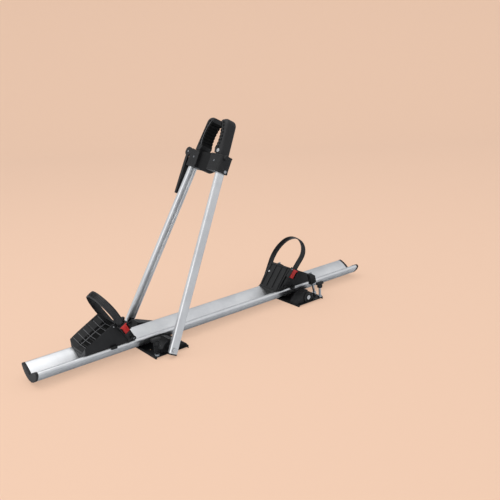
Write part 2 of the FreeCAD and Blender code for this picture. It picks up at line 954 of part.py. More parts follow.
pivot_x = FEET["front"][0] - size.tower_offset
arm_slope = (size.arm_foot_y - size.arm_head_y) / size.arm_head_height
arm_half = size.arm_thickness / 2
margin = size.cut_margin
collar_bottom = size.arm_head_height - size.collar_grip
collar_top = size.arm_head_height + size.collar_rise
rivet_height = size.arm_head_height - size.rivet_drop
bridge_shoulder = size.arm_head_height - size.bridge_drop
rod_height = collar_top - size.rod_depth
jaw_pivot_height = size.arm_head_height + size.jaw_pivot_rise
jaw_bottom = collar_top + size.jaw_gap
mouth_centre_height = jaw_bottom + size.mouth_rise
lock_height = jaw_bottom + size.lock_rise
jaw_crown = (size.jaw_crown_y, jaw_bottom + size.jaw_crown_rise)
lock_y = size.jaw_crown_y + size.jaw_crown_radius - size.lock_inset
lever_y = size.collar_outer_y + size.lever_gap + size.lever_cam_radius


def lean(thing):
    """Leans a piece of the folding frame back about the frame's pivot."""
    return place(thing, (pivot_x, 0, size.tower_axis_height), (0, 1, 0), size.frame_lean)


def arm_y(height, shift):
    """Distance from the middle of a line that runs beside an arm's centre line."""
    return size.arm_foot_y - arm_slope * height + shift


def arm_outline(side, low, high, inner, outer):
    """An outline beside an arm's centre line, in the plane that both arms share."""
    return [
        (side * arm_y(low, inner), low),
        (side * arm_y(low, outer), low),
        (side * arm_y(high, outer), high),
        (side * arm_y(high, inner), high),
    ]


def arm_direction(side):
    way = Vector(0, -side * float(arm_slope), 1)
    return way.normalize()


def build_pivots():
    """Bolts that the frame folds on, their nuts inside the towers and the bushes outside."""
    bolts = []
    nuts = []
    bushes = []
    z = size.tower_axis_height
    radius = size.pivot_diameter / 2
    head_y = arm_y(0, arm_half) + size.pivot_head_gap
    nut_y = size.tower_inner_y - size.pivot_nut_height
    bush_length = arm_y(0, -arm_half) - size.pivot_bush_gap - size.tower_outer_y
    for side_word, side in SIDES:
        name = "pivot_" + side_word
        start = nut_y if side == FAR else -head_y
        shank = cylinder(name + "_shank", radius, head_y - nut_y, (pivot_x, start, z), "Y")
        start = head_y if side == FAR else -head_y - size.pivot_head_height
        head = cylinder(
            name + "_head",
            size.pivot_head_radius,
            size.pivot_head_height,
            (pivot_x, start, z),
            "Y",
        )
        bolts.append(fuse(name + "_bolt", shank, head))
        start = nut_y if side == FAR else -size.tower_inner_y
        blank = hexagon(
            name + "_nut_blank",
            size.pivot_nut_width,
            size.pivot_nut_height,
            (pivot_x, start, z),
            "Y",
        )
        bore = cylinder(name + "_nut_bore", radius, size.pivot_nut_height, (pivot_x, start, z), "Y")
        nuts.append(cut(name + "_nut", blank, bore))
        start = size.tower_outer_y if side == FAR else -size.tower_outer_y - bush_length
        at = (pivot_x, start, z)
        sleeve = cylinder(name + "_bush_sleeve", size.pivot_bush_radius, bush_length, at, "Y")
        inside = radius + size.running_clearance
        bore = cylinder(name + "_bush_bore", inside, bush_length, at, "Y")
        bushes.append(cut(name + "_bush", sleeve, bore))
    node(group("pivot_bolts", bolts), "pivot_bolts")
    node(group("pivot_nuts", nuts), "pivot_nuts")
    node(group("pivot_bushes", bushes), "pivot_bushes")


def build_arms():
    """Channel-section arms, open towards each other, with moulded plugs in their feet."""
    wall = size.arm_wall
    low = -size.arm_below_pivot
    high = size.arm_head_height
    half = size.arm_width / 2
    pivot_hole = size.pivot_diameter / 2 + size.running_clearance
    plugs = []
    for side_word, side in SIDES:
        label = "arm_" + side_word
        body = new_body(label)
        outline = arm_outline(side, low, high, -arm_half, arm_half)
        solid(body, label + "_bar", "YZ_Plane", [outline], -half, size.arm_width)
        round_off(body, label + "_corners", size.arm_corner, long_edge(side, half))
        outline = arm_outline(side, low - margin, high + margin, wall - arm_half, arm_half - wall)
        hollow(body, label + "_channel", "YZ_Plane", [outline], wall - half, size.arm_width - wall * 2)
        inner = size.arm_corner - wall
        round_off(body, label + "_inner_corners", inner, long_edge(side, half - wall))
        inside = wall + margin - arm_half
        outline = arm_outline(side, low - margin, high + margin, -arm_half - margin, inside)
        start = -size.arm_opening / 2
        hollow(body, label + "_opening", "YZ_Plane", [outline], start, size.arm_opening)
        holes = [
            [(0, 0, pivot_hole)],
            [(size.rivet_offset, rivet_height, size.rivet_diameter / 2 + size.screw_clearance)],
        ]
        hollow(body, label + "_holes", "XZ_Plane", holes, -size.foot_width, size.foot_width * 2)
        node(lean(body), label)

        name = "arm_plug_" + side_word
        plug = new_body(name)
        outline = arm_outline(side, low - size.plug_base, low, -arm_half, arm_half)
        solid(plug, name + "_base", "YZ_Plane", [outline], -half, size.arm_width)
        round_off(plug, name + "_base_corners", size.arm_corner, long_edge(side, half))
        gap = wall + size.plug_clearance
        outline = arm_outline(side, low, low + size.plug_depth, -arm_half + gap, arm_half - gap)
        solid(plug, name + "_tongue", "YZ_Plane", [outline], gap - half, size.arm_width - gap * 2)
        round_off(plug, name + "_tongue_corners", inner, long_edge(side, half - gap))
        hole = [[(0, 0, pivot_hole)]]
        hollow(plug, name + "_hole", "XZ_Plane", hole, -size.foot_width, size.foot_width * 2)
        plugs.append(lean(plug))
    node(group("arm_plugs", plugs), "arm_plugs")


def long_edge(side, distance):
    """A test for the edges that run along an arm at a distance from its middle plane."""
    way = arm_direction(side)
    distance = float(distance)

    def wanted(edge):
        if abs(abs(edge.CenterOfMass.x) - distance) > SAME_PLACE:
            return False
        return is_straight_along(edge, (way.x, way.y, way.z))

    return wanted


def build_collars():
    """Moulded blocks in which the arms end and the jaws pivot."""
    half = size.collar_depth / 2
    swing = (collar_top - jaw_pivot_height) * sine(size.jaw_swing)
    reach = size.jaw_tongue_radius + size.jaw_slot_clearance
    slot_half = size.jaw_tongue_depth / 2 + size.jaw_slot_clearance
    gap = size.collar_clearance
    for side_word, side in SIDES:
        label = "collar_" + side_word
        body = new_body(label)
        block = rectangle(
            side * size.collar_inner_y,
            collar_bottom,
            side * size.collar_outer_y,
            collar_top,
        )
        solid(body, label + "_block", "YZ_Plane", [block], -half, size.collar_depth)
        round_off(body, label + "_corners", size.collar_corner, is_collar_corner(side))
        top = size.arm_head_height + gap
        low = collar_bottom - margin
        bore = arm_outline(side, low, top, -arm_half - gap, arm_half + gap)
        width = size.arm_width + gap * 2
        hollow(body, label + "_arm_bore", "YZ_Plane", [bore], -width / 2, width)
        slot = rectangle(
            side * (size.jaw_pivot_y - reach),
            jaw_pivot_height - reach,
            side * (size.jaw_pivot_y + reach + swing),
            collar_top + margin,
        )
        hollow(body, label + "_slot", "YZ_Plane", [slot], -slot_half, slot_half * 2)
        pin_radius = size.jaw_pin_diameter / 2
        pin = [[(side * size.jaw_pivot_y, jaw_pivot_height, pin_radius + size.screw_clearance)]]
        hollow(body, label + "_pin_hole", "YZ_Plane", pin, -half, size.collar_depth)
        holes = [
            [(size.rod_offset, rod_height, size.rod_hole / 2)],
            [(size.rivet_offset, rivet_height, size.rivet_diameter / 2 + size.screw_clearance)],
        ]
        across = size.foot_width
        hollow(body, label + "_rod_hole", "XZ_Plane", holes, -across, across * 2)
        node(lean(body), label)


def is_collar_corner(side):
    """A test for a collar's upright edges on the side away from the middle."""
    outer = side * float(size.collar_outer_y)

    def wanted(edge):
        return abs(edge.CenterOfMass.y - outer) < SAME_PLACE and is_straight_along(edge, (0, 0, 1))

    return wanted


def build_bridge():
    """The block between the collars, with its rounded underside and the bore for the rod."""
    body = new_body("bridge")
    half = size.collar_inner_y
    outline = [
        (-half, bridge_shoulder, -size.bridge_radius),
        (half, bridge_shoulder),
        (half, collar_top),
        (-half, collar_top),
    ]
    solid(body, "bridge_block", "YZ_Plane", [outline], -size.bridge_depth / 2, size.bridge_depth)
    bore = [[(size.rod_offset, rod_height, size.rod_diameter / 2 + size.bolt_clearance)]]
    hollow(body, "bridge_bore", "XZ_Plane", bore, -half, half * 2)
    node(lean(body), "bridge")


def build_clamp_rod():
    """The rod that draws the jaws together, its cap nut, its cross pin and the head's pins."""
    u = size.rod_offset
    height = rod_height
    radius = size.rod_diameter / 2
    rod = new_body("clamp_rod")
    start = -size.collar_outer_y - size.rod_nut_height / 2
    solid(rod, "rod_bar", "XZ_Plane", [[(u, height, radius)]], start, lever_y - start)
    eye = [[(lever_y, height, size.rod_eye_radius)]]
    solid(rod, "rod_eye", "YZ_Plane", eye, u - size.rod_eye_width / 2, size.rod_eye_width)
    pin_radius = size.lever_pin_diameter / 2
    hole = [[(lever_y, height, pin_radius + size.running_clearance)]]
    hollow(rod, "rod_eye_hole", "YZ_Plane", hole, u - size.rod_eye_width / 2, size.rod_eye_width)
    node(lean(rod), "clamp_rod")

    nut = new_body("clamp_nut")
    start = -size.collar_outer_y - size.rod_nut_height
    dome = [[(u, height, size.rod_nut_radius)]]
    solid(nut, "nut_dome", "XZ_Plane", dome, start, size.rod_nut_height)
    round_off(nut, "nut_edge", size.rod_nut_corner, is_nut_rim)
    bore = [[(u, height, radius)]]
    depth = size.rod_nut_height / 2
    hollow(nut, "nut_bore", "XZ_Plane", bore, -size.collar_outer_y - depth, depth)
    node(lean(nut), "clamp_nut")

    pin = new_body("lever_pin")
    bar = [[(lever_y, height, pin_radius)]]
    solid(pin, "lever_pin_bar", "YZ_Plane", bar, u - size.lever_width / 2, size.lever_width)
    node(lean(pin), "lever_pin")

    pins = []
    rivets = []
    for side_word, side in SIDES:
        pin = new_body("jaw_pin_" + side_word)
        bar = [[(side * size.jaw_pivot_y, jaw_pivot_height, size.jaw_pin_diameter / 2)]]
        start = -size.collar_depth / 2
        solid(pin, f"jaw_pin_{side_word}_bar", "YZ_Plane", bar, start, size.collar_depth)
        pins.append(lean(pin))
        rivet = new_body("head_rivet_" + side_word)
        outer = size.collar_outer_y
        start = outer if side == FAR else -outer - size.rivet_head_height
        head = [[(size.rivet_offset, rivet_height, size.rivet_head_radius)]]
        name = f"head_rivet_{side_word}_head"
        solid(rivet, name, "XZ_Plane", head, start, size.rivet_head_height)
        start = outer - size.rivet_length if side == FAR else -outer
        shank = [[(size.rivet_offset, rivet_height, size.rivet_diameter / 2)]]
        solid(rivet, f"head_rivet_{side_word}_shank", "XZ_Plane", shank, start, size.rivet_length)
        rivets.append(lean(rivet))
    node(group("jaw_pins", pins), "jaw_pins")
    node(group("head_rivets", rivets), "head_rivets")


def is_nut_rim(edge):
    """The outer rim of the cap nut."""
    outer = -float(size.collar_outer_y) - float(size.rod_nut_height)
    return edge.Curve.TypeId == "Part::GeomCircle" and abs(edge.CenterOfMass.y - outer) < SAME_PLACE


def mouth_point(side, radius, angle):
    """A point on one of the round lines of a jaw's mouth."""
    across = size.mouth_centre_y + radius * cosine(angle)
    return (side * across, mouth_centre_height + radius * sine(angle))


def crown_point(angle, along):
    """A point on a jaw's round crown, or farther along the straight line that leaves it there."""
    radius = size.jaw_crown_radius
    return (
        jaw_crown[0] + radius * cosine(angle) - along * sine(angle),
        jaw_crown[1] + radius * sine(angle) + along * cosine(angle),
    )


def build_jaws():
    """Two jaws with rubber linings that close round a bicycle's down tube."""
    half = size.jaw_depth / 2
    low = size.mouth_low_angle
    high = size.mouth_high_angle
    inner = size.mouth_radius
    outer = size.mouth_radius + size.jaw_pad_thickness
    tongue = size.jaw_tongue_radius
    pivot_y = size.jaw_pivot_y
    pivot_z = jaw_pivot_height
    for side_word, side in SIDES:
        label = "jaw_" + side_word
        body = new_body(label)
        back = crown_point(size.jaw_back_angle, 0)
        top = crown_point(size.jaw_nose_angle, 0)
        nose = crown_point(size.jaw_nose_angle, size.jaw_nose_length)
        back_run = back[1] - jaw_bottom
        base = back[0] + back_run * sine(size.jaw_back_angle) / cosine(size.jaw_back_angle)
        profile = [
            (side * size.jaw_base_inner_y, jaw_bottom),
            (side * base, jaw_bottom),
            (side * back[0], back[1], -side * size.jaw_crown_radius),
            (side * top[0], top[1]),
            (side * nose[0], nose[1]),
            mouth_point(side, inner, high),
            mouth_point(side, outer, high) + (side * outer,),
            mouth_point(side, outer, low),
            mouth_point(side, inner, low),
        ]
        solid(body, label + "_shell", "YZ_Plane", [profile], -half, size.jaw_depth)
        round_off(body, label + "_edges", size.jaw_edge, is_jaw_back(side))
        tongue_half = size.jaw_tongue_depth / 2
        shape = [
            (side * (pivot_y - tongue), jaw_bottom + margin),
            (side * (pivot_y - tongue), pivot_z, -side * tongue),
            (side * pivot_y, pivot_z - tongue, -side * tongue),
            (side * (pivot_y + tongue), pivot_z),
            (side * (pivot_y + tongue), jaw_bottom + margin),
        ]
        solid(body, label + "_tongue", "YZ_Plane", [shape], -tongue_half, tongue_half * 2)
        pin_radius = size.jaw_pin_diameter / 2 + size.running_clearance
        hole = [[(side * pivot_y, pivot_z, pin_radius)]]
        hollow(body, label + "_pin_hole", "YZ_Plane", hole, -half, size.jaw_depth)
        rod = [[(size.rod_offset, rod_height, size.rod_hole / 2)]]
        reach = size.foot_width
        hollow(body, label + "_rod_hole", "XZ_Plane", rod, -reach, reach * 2)
        if side == NEAR:
            barrel = [[(-lock_y, lock_height, size.lock_radius + size.running_clearance)]]
            hollow(body, label + "_lock_bore", "YZ_Plane", barrel, -half, size.lock_depth)
        node(lean(body), label)

        name = "jaw_pad_" + side_word
        pad = new_body(name)
        lining = [
            mouth_point(side, inner, low) + (-side * inner,),
            mouth_point(side, inner, high),
            mouth_point(side, outer, high) + (side * outer,),
            mouth_point(side, outer, low),
        ]
        depth = size.jaw_pad_depth
        solid(pad, name + "_lining", "YZ_Plane", [lining], -depth / 2, depth)
        step = (high - low) / (size.jaw_notch_count + 1)
        notches = [
            [mouth_point(side, inner, low + step * (index + 1)) + (size.jaw_notch_radius,)]
            for index in range(int(size.jaw_notch_count.number))
        ]
        hollow(pad, name + "_notches", "YZ_Plane", notches, -half, size.jaw_depth)
        node(lean(pad), name)


def is_jaw_back(side):
    """A test for the rims of a jaw's outer side, from its base round to its nose."""
    half = float(size.jaw_depth) / 2
    centre_y = side * float(size.mouth_centre_y)
    centre_z = float(mouth_centre_height)
    reach = float(size.mouth_radius) + float(size.jaw_pad_thickness) + float(size.jaw_edge) / 2
    bottom = float(jaw_bottom) + float(margin)

    def wanted(edge):
        middle = edge.CenterOfMass
        if abs(abs(middle.x) - half) > SAME_PLACE or middle.z < bottom:
            return False
        return math.hypot(middle.y - centre_y, middle.z - centre_z) > reach

    return wanted


def build_lock():
    """The lock barrel in the near jaw."""
    body = new_body("lock_barrel")
    start = -size.jaw_depth / 2 - size.lock_proud
    barrel = [[(-lock_y, lock_height, size.lock_radius)]]
    solid(body, "lock_bar", "YZ_Plane", barrel, start, size.lock_depth + size.lock_proud)
    half = size.key_slot_width / 2
    reach = size.key_slot_length / 2
    slot = rectangle(
        -lock_y - half,
        lock_height - reach,
        -lock_y + half,
        lock_height + reach,
    )
    hollow(body, "lock_key_slot", "YZ_Plane", [slot], start, size.key_slot_depth)
    node(lean(body), "lock_barrel")


def build_lever():
    """The long cam lever that hangs down outside the far collar."""
    body = new_body("cam_lever")
    u = size.rod_offset
    height = rod_height
    radius = size.lever_cam_radius
    half = size.lever_thickness / 2
    tip = height - size.lever_length
    tip_half = size.lever_tip_thickness / 2
    width = size.lever_width
    cam = [[(lever_y, height, radius)]]
    solid(body, "lever_cam", "YZ_Plane", cam, u - width / 2, width)
    handle = [
        (lever_y - half, height),
        (lever_y - tip_half, tip),
        (lever_y + tip_half, tip),
        (lever_y + half, height),
    ]
    solid(body, "lever_handle", "YZ_Plane", [handle], u - width / 2, width)
    waist = height - radius * 2
    edge = size.lever_tip_width / 2
    trims = [
        [
            (u + way * width / 2, waist),
            (u + way * (width / 2 + margin), waist),
            (u + way * (width / 2 + margin), tip - margin),
            (u + way * edge, tip - margin),
        ]
        for way in (-1, 1)
    ]
    hollow(body, "lever_taper", "XZ_Plane", trims, 0, size.foot_width)
    fork = size.lever_fork_width / 2
    bottom = height - size.lever_fork_depth
    gap = rectangle(u - fork, bottom, u + fork, height + radius + margin)
    hollow(body, "lever_fork", "XZ_Plane", [gap], 0, size.foot_width)
    hole = [[(lever_y, height, size.lever_pin_diameter / 2 + size.running_clearance)]]
    hollow(body, "lever_hole", "YZ_Plane", hole, u - width, width * 2)
    node(lean(body), "cam_lever")


# Wheel cradles, drawn about their lower back edge

CRADLES = {
    "front": (size.front_cradle_inset - size.rail_length / 2, -1),
    "rear": (size.rail_length / 2 - size.rear_cradle_inset, 1),
}
cradle_base = rail_top + size.cradle_gap
ramp_run = size.cradle_length - size.cradle_peak_x
ramp_drop = size.cradle_peak_height - size.cradle_tip_height
ramp_length = root(ramp_run * ramp_run + ramp_drop * ramp_drop)
ramp_slope = ramp_drop / ramp_run
back_slope = (size.cradle_peak_height - cradle_base) / size.cradle_peak_x
back_length = root(1 + back_slope * back_slope)


def channel_profile(inset):
    """The tyre's channel, open at the top, seen along the ramp with its rim at zero."""
    depth = size.cradle_channel_depth - inset
    floor_half = size.cradle_floor_half - inset
    top_half = size.cradle_top_half - size.cradle_wall - inset
    return [
        (-floor_half, -depth),
        (floor_half, -depth),
        (top_half, 0),
        (top_half, size.cradle_channel_depth),
        (-top_half, size.cradle_channel_depth),
        (-top_half, 0),
    ]


def build_cradle(word):
    """A wedge with a tyre channel down its ramp; it slides along the rail's lips."""
    place_x, way = CRADLES[word]
    label = word + "_cradle"
    block = new_body(label + "_block")
    length = size.cradle_length
    start = 0 if way > 0 else -length
    peak = size.cradle_peak_height
    keel, keel_top = crest_end(size.cradle_gap)
    keel_bottom = valley_z + size.cradle_gap * 2
    flank = size.flank_radius + size.cradle_gap
    section = [
        (-keel, keel_top, flank),
        (-size.valley_half, keel_bottom),
        (size.valley_half, keel_bottom, flank),
        (keel, keel_top),
        (keel, cradle_base),
        (size.cradle_base_half, cradle_base),
        (size.cradle_top_half, peak),
        (-size.cradle_top_half, peak),
        (-size.cradle_base_half, cradle_base),
        (-keel, cradle_base),
    ]
    solid(block, label + "_wedge", "YZ_Plane", [section], start, length)
    lip = size.rail_width / 2 + size.cradle_gap
    inner = size.cradle_base_half - size.cradle_wall
    hook_low = cradle_base - size.cradle_hook_drop
    hook_top = cradle_base + size.cradle_wall
    hooks = [
        [
            (side * inner, cradle_base),
            (side * lip, cradle_base),
            (side * lip, hook_low),
            (side * (lip + size.cradle_hook_thickness), hook_low),
            (side * (lip + size.cradle_hook_thickness), hook_top),
            (side * inner, hook_top),
        ]
        for side in (NEAR, FAR)
    ]
    hook_start = size.cradle_hook_start
    if way < 0:
        hook_start = -size.cradle_hook_start - size.cradle_hook_length
    solid(block, label + "_hooks", "YZ_Plane", hooks, hook_start, size.cradle_hook_length)
    clear = size.foot_width
    beyond = way * (length + margin)
    above = [
        (0, cradle_base),
        (way * size.cradle_peak_x, peak),
        (way * length, size.cradle_tip_height),
        (beyond, size.cradle_tip_height),
        (beyond, peak + margin),
        (-way * margin, peak + margin),
        (-way * margin, cradle_base),
    ]
    hollow(block, label + "_slopes", "XZ_Plane", [above], -clear / 2, clear)
    place(block, (place_x, 0, 0))

    channel = new_body(label + "_channel")
    run = ramp_length * 2
    start = -ramp_length if way > 0 else -(run - ramp_length)
    shallow = channel_profile(size.cradle_rib_height)
    solid(channel, label + "_bare", "YZ_Plane", [shallow], start, run)
    pitch = size.cradle_rib_pitch
    deep = channel_profile(0)
    bay = pitch - size.cradle_rib_width
    for index in range(int(size.cradle_rib_count.number)):
        begin = pitch * index + size.cradle_rib_width / 2
        if way < 0:
            begin = -(begin + bay)
        solid(channel, f"{label}_bay_{index}", "YZ_Plane", [deep], begin, bay)
    head_bay = ramp_length - size.cradle_rib_width / 2
    begin = -ramp_length if way > 0 else size.cradle_rib_width / 2
    solid(channel, label + "_head_bay", "YZ_Plane", [deep], begin, head_bay)
    angle = Size(
        math.degrees(math.atan(ramp_slope.number)),
        f"atan({ramp_slope.text})",
    )
    at = (place_x + way * size.cradle_peak_x, 0, peak)
    place(channel, at, (0, way, 0), angle)

    backing = new_body(label + "_backing")
    thickness = size.cradle_wall * back_length / back_slope
    rise = (peak - cradle_base) * 3
    zone = [
        (0, cradle_base),
        (way * thickness, cradle_base),
        (way * (size.cradle_peak_x * 3 + thickness), cradle_base + rise),
        (-way * length * 2, cradle_base + rise),
        (-way * length * 2, 0),
        (0, 0),
    ]
    solid(backing, label + "_back_zone", "XZ_Plane", [zone], -clear / 2, clear)
    place(backing, (place_x, 0, 0))

    opening = cut(label + "_opening", channel, backing)
    open_block = cut(label + "_open_block", block, opening)
    shell = cut(label + "_shell", open_block, cradle_underside(word))
    whole = fuse(label + "_with_ears", shell, *cradle_ears(word))
    node(cut(label, whole, *anchor_bores(word)), label)


def cradle_underside(word):
    """The hollow under the ramp, open below."""
    place_x, way = CRADLES[word]
    label = word + "_cradle_underside"
    body = new_body(label)
    wall = size.cradle_wall
    ramp_cosine = ramp_run / ramp_length
    floor_at_back = size.cradle_peak_height + ramp_slope * size.cradle_peak_x
    ceiling = floor_at_back - (size.cradle_channel_depth + wall) / ramp_cosine
    back_x = wall * 2
    back_z = cradle_base + wall
    corner_x = (ceiling - cradle_base + back_slope * back_x) / (back_slope + ramp_slope)
    corner_z = ceiling - ramp_slope * corner_x
    front_x = (ceiling - back_z) / ramp_slope
    outline = [
        (way * back_x * 2, 0),
        (way * back_x * 2, back_z),
        (way * corner_x, corner_z),
        (way * front_x, back_z),
        (way * front_x, 0),
    ]
    half = size.cradle_hollow_half
    solid(body, label + "_room", "XZ_Plane", [outline], -half, half * 2)
    return place(body, (place_x, 0, 0))


# Straps, drawn in their own leaning plane with the level of the cradle's peak at zero

crown_z = size.strap_rise - size.strap_crown_radius
FAR_CROWN = size.strap_crown_far_angle
NEAR_CROWN = -size.strap_crown_near_angle


def polar(centre, radius, angle):
    return (centre[0] + radius * sine(angle), centre[1] + radius * cosine(angle))


crown_centre = (size.strap_crown_y, crown_z)
far_centre = polar(crown_centre, size.strap_crown_radius - size.strap_far_radius, FAR_CROWN)
near_centre = polar(crown_centre, size.strap_crown_radius - size.strap_near_radius, NEAR_CROWN)
near_end = polar(near_centre, size.strap_near_radius, -size.strap_near_angle)
far_end = polar(far_centre, size.strap_far_radius, size.strap_far_angle)


def on_near_leg(along, out):
    """A point by the strap's straight near leg: its distance down the leg and outwards."""
    angle = size.strap_near_angle
    return (
        near_end[0] - along * cosine(angle) - out * sine(angle),
        near_end[1] - along * sine(angle) + out * cosine(angle),
    )


def on_far_leg(along, out):
    angle = size.strap_far_angle
    return (
        far_end[0] + along * cosine(angle) + out * sine(angle),
        far_end[1] - along * sine(angle) + out * cosine(angle),
    )


STRAP_OFFSETS = {"front": size.front_strap_offset, "rear": size.rear_strap_offset}


def strap_place(word, thing):
    """Puts a piece that was drawn in the strap's plane in its place."""
    place_x, way = CRADLES[word]
    x = place_x + way * (size.cradle_peak_x - STRAP_OFFSETS[word])
    return place(thing, (x, 0, size.cradle_peak_height), (0, way, 0), size.strap_lean)


def build_strap(word):
    """A ratchet strap that makes a standing loop for the wheel's rim."""
    label = word + "_strap"
    body = new_body(label)
    half = size.strap_thickness / 2
    crown = size.strap_crown_radius
    outline = [
        on_far_leg(size.strap_far_leg, half),
        on_far_leg(0, half) + (-(size.strap_far_radius + half),),
        polar(crown_centre, crown + half, FAR_CROWN) + (-(crown + half),),
        polar(crown_centre, crown + half, NEAR_CROWN) + (-(size.strap_near_radius + half),),
        on_near_leg(0, half),
        on_near_leg(size.strap_near_leg, half),
        on_near_leg(size.strap_near_leg, -half),
        on_near_leg(0, -half) + (size.strap_near_radius - half,),
        polar(crown_centre, crown - half, NEAR_CROWN) + (crown - half,),
        polar(crown_centre, crown - half, FAR_CROWN) + (size.strap_far_radius - half,),
        on_far_leg(0, -half),
        on_far_leg(size.strap_far_leg, -half),
    ]
    width = size.strap_width
    solid(body, label + "_band", "YZ_Plane", [outline], -width / 2, width)
    near = on_near_leg(size.strap_near_leg - size.anchor_inset, 0)
    far = on_far_leg(size.strap_far_leg - size.anchor_inset, 0)
    radius = size.anchor_diameter / 2 + size.screw_clearance
    hole = [[(0, near[1], radius)]]
    reach = size.foot_width / 2
    hollow(body, label + "_near_hole", "XZ_Plane", hole, -reach, reach)
    hole = [[(0, far[1], radius)]]
    hollow(body, label + "_far_hole", "XZ_Plane", hole, 0, reach)
    node(strap_place(word, body), label)


def anchor_points():
    """The anchor pins: side, height and the strap's inner face in the strap's plane."""
    half = size.strap_thickness / 2
    return [
        (NEAR, on_near_leg(size.strap_near_leg - size.anchor_inset, 0), half),
        (FAR, on_far_leg(size.strap_far_leg - size.anchor_inset, 0), half),
    ]


def cradle_ears(word):
    """Lugs outside the cradle's side walls, to which the strap is pinned."""
    way = CRADLES[word][1]
    ears = []
    for side, point, half in anchor_points():
        name = f"{word}_ear_{len(ears)}"
        body = new_body(name)
        radius = size.cradle_ear_radius
        inner = size.cradle_base_half - size.cradle_wall
        outer = side * point[0] - half - size.anchor_gap
        start = inner if side == FAR else -outer
        reach = size.cradle_ear_reach
        outline = [
            (way * reach, point[1] - radius),
            (0, point[1] - radius, way * radius),
            (-way * radius, point[1], way * radius),
            (0, point[1] + radius),
            (way * reach, point[1] + radius),
        ]
        solid(body, name + "_lug", "XZ_Plane", [outline], start, outer - inner)
        ears.append(strap_place(word, body))
    return ears


def anchor_bores(word):
    """The holes for the anchor pins, through the cradle's walls and lugs."""
    bores = []
    for side, point, half in anchor_points():
        name = f"{word}_anchor_bore_{len(bores)}"
        body = new_body(name)
        inner = size.cradle_base_half - size.cradle_wall - margin
        outer = side * point[0] + half
        start = inner if side == FAR else -outer
        bore = [[(0, point[1], size.anchor_diameter / 2 + size.screw_clearance)]]
        solid(body, name + "_bar", "XZ_Plane", bore, start, outer - inner)
        bores.append(strap_place(word, body))
    return bores


def build_anchor_pins(word):
    """Pins through the strap's ends and the cradle's lugs."""
    pins = []
    for side, point, half in anchor_points():
        name = f"{word}_anchor_pin_{len(pins)}"
        body = new_body(name)
        inner = size.cradle_base_half - size.cradle_wall
        outer = side * point[0] + half + size.anchor_gap
        start = inner if side == FAR else -outer
        shank = [[(0, point[1], size.anchor_diameter / 2)]]
        solid(body, name + "_shank", "XZ_Plane", shank, start, outer - inner)
        head = [[(0, point[1], size.anchor_head_radius)]]
        start = outer if side == FAR else -outer - size.anchor_head_height
        solid(body, name + "_head", "XZ_Plane", head, start, size.anchor_head_height)
        pins.append(strap_place(word, body))
    node(group(word + "_anchor_pins", pins), word + "_anchor_pins")


def leg_rectangle(top, bottom, inner, outer):
    """A rectangle beside the strap's near leg."""
    return [
        on_near_leg(top, inner),
        on_near_leg(bottom, inner),
        on_near_leg(bottom, outer),
        on_near_leg(top, outer),
    ]


def build_buckle(word):
    """A ratchet buckle on the strap's near leg with its sprung release lever."""
    label = word + "_buckle"
    body = new_body(label)
    half = size.strap_thickness / 2
    top = size.buckle_position - size.buckle_length / 2
    bottom = size.buckle_position + size.buckle_length / 2
    width = size.buckle_width
    inner = -half - size.buckle_gap - size.buckle_base
    outer = half + size.buckle_height
    frame = leg_rectangle(top, bottom, inner, outer)
    solid(body, label + "_block", "YZ_Plane", [frame], -width / 2, width)
    floor = inner + size.buckle_base
    room = leg_rectangle(top - margin, bottom + margin, floor, outer + margin)
    inside = width - size.buckle_wall * 2
    hollow(body, label + "_room", "YZ_Plane", [room], -inside / 2, inside)
    pin_along = top + size.release_hub_radius + size.buckle_wall
    pin_out = half + size.buckle_gap + size.release_hub_radius
    pin_at = on_near_leg(pin_along, pin_out)
    hole = [[pin_at + (size.release_pin_diameter / 2 + size.running_clearance,)]]
    hollow(body, label + "_hole", "YZ_Plane", hole, -width / 2, width)
    node(strap_place(word, body), label)

    label = word + "_release"
    lever = new_body(label)
    hub_width = inside - size.release_gap * 2
    hub = [[pin_at + (size.release_hub_radius,)]]
    solid(lever, label + "_hub", "YZ_Plane", hub, -hub_width / 2, hub_width)
    high = pin_out + size.release_hub_radius
    blade = leg_rectangle(
        pin_along,
        pin_along + size.release_length,
        high - size.release_thickness,
        high,
    )
    solid(lever, label + "_blade", "YZ_Plane", [blade], -size.release_width / 2, size.release_width)
    hole = [[pin_at + (size.release_pin_diameter / 2 + size.running_clearance,)]]
    hollow(lever, label + "_hole", "YZ_Plane", hole, -width / 2, width)
    node(strap_place(word, lever), label)

    label = word + "_release_pin"
    pin = new_body(label)
    bar = [[pin_at + (size.release_pin_diameter / 2,)]]
    solid(pin, label + "_bar", "YZ_Plane", bar, -width / 2, width)
    node(strap_place(word, pin), label)


# The whole carrier

build_rail()
build_end_caps()
for word in ("front", "rear"):
    build_saddle(word)
    build_bar_pads(word)
    build_rail_bolts(word)
    build_towers(word)
    build_knobs(word)
build_rear_tower_bolts()
build_hook_bolts()
build_pivots()
build_arms()
build_collars()
build_bridge()
build_clamp_rod()
build_jaws()
build_lock()
build_lever()
for word in ("front", "rear"):
    build_cradle(word)
    build_strap(word)
    build_anchor_pins(word)
    build_buckle(word)


# Checks and files

def faults():
    """Names every object that failed and every sub-part whose shape isn't sound."""
    found = []
    for thing in document.Objects:
        if "Invalid" in thing.State or "Error" in thing.State:
            found.append(f"{thing.Name} is {thing.State}")
    for thing in nodes:
        if thing.Shape.isNull() or not thing.Shape.isValid():
            found.append(f"{thing.Label} has no sound shape")
    return found


document.recompute()
problems = faults()
if problems:
    raise RuntimeError("; ".join(problems))
os.makedirs("parts", exist_ok=True)
for thing in nodes:
    thing.Shape.exportStep(f"parts/{thing.Label}.step")
print(len(nodes), "sub-parts written")
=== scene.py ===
import json
import math

import bmesh
import bpy
from mathutils import Euler, Matrix, Vector


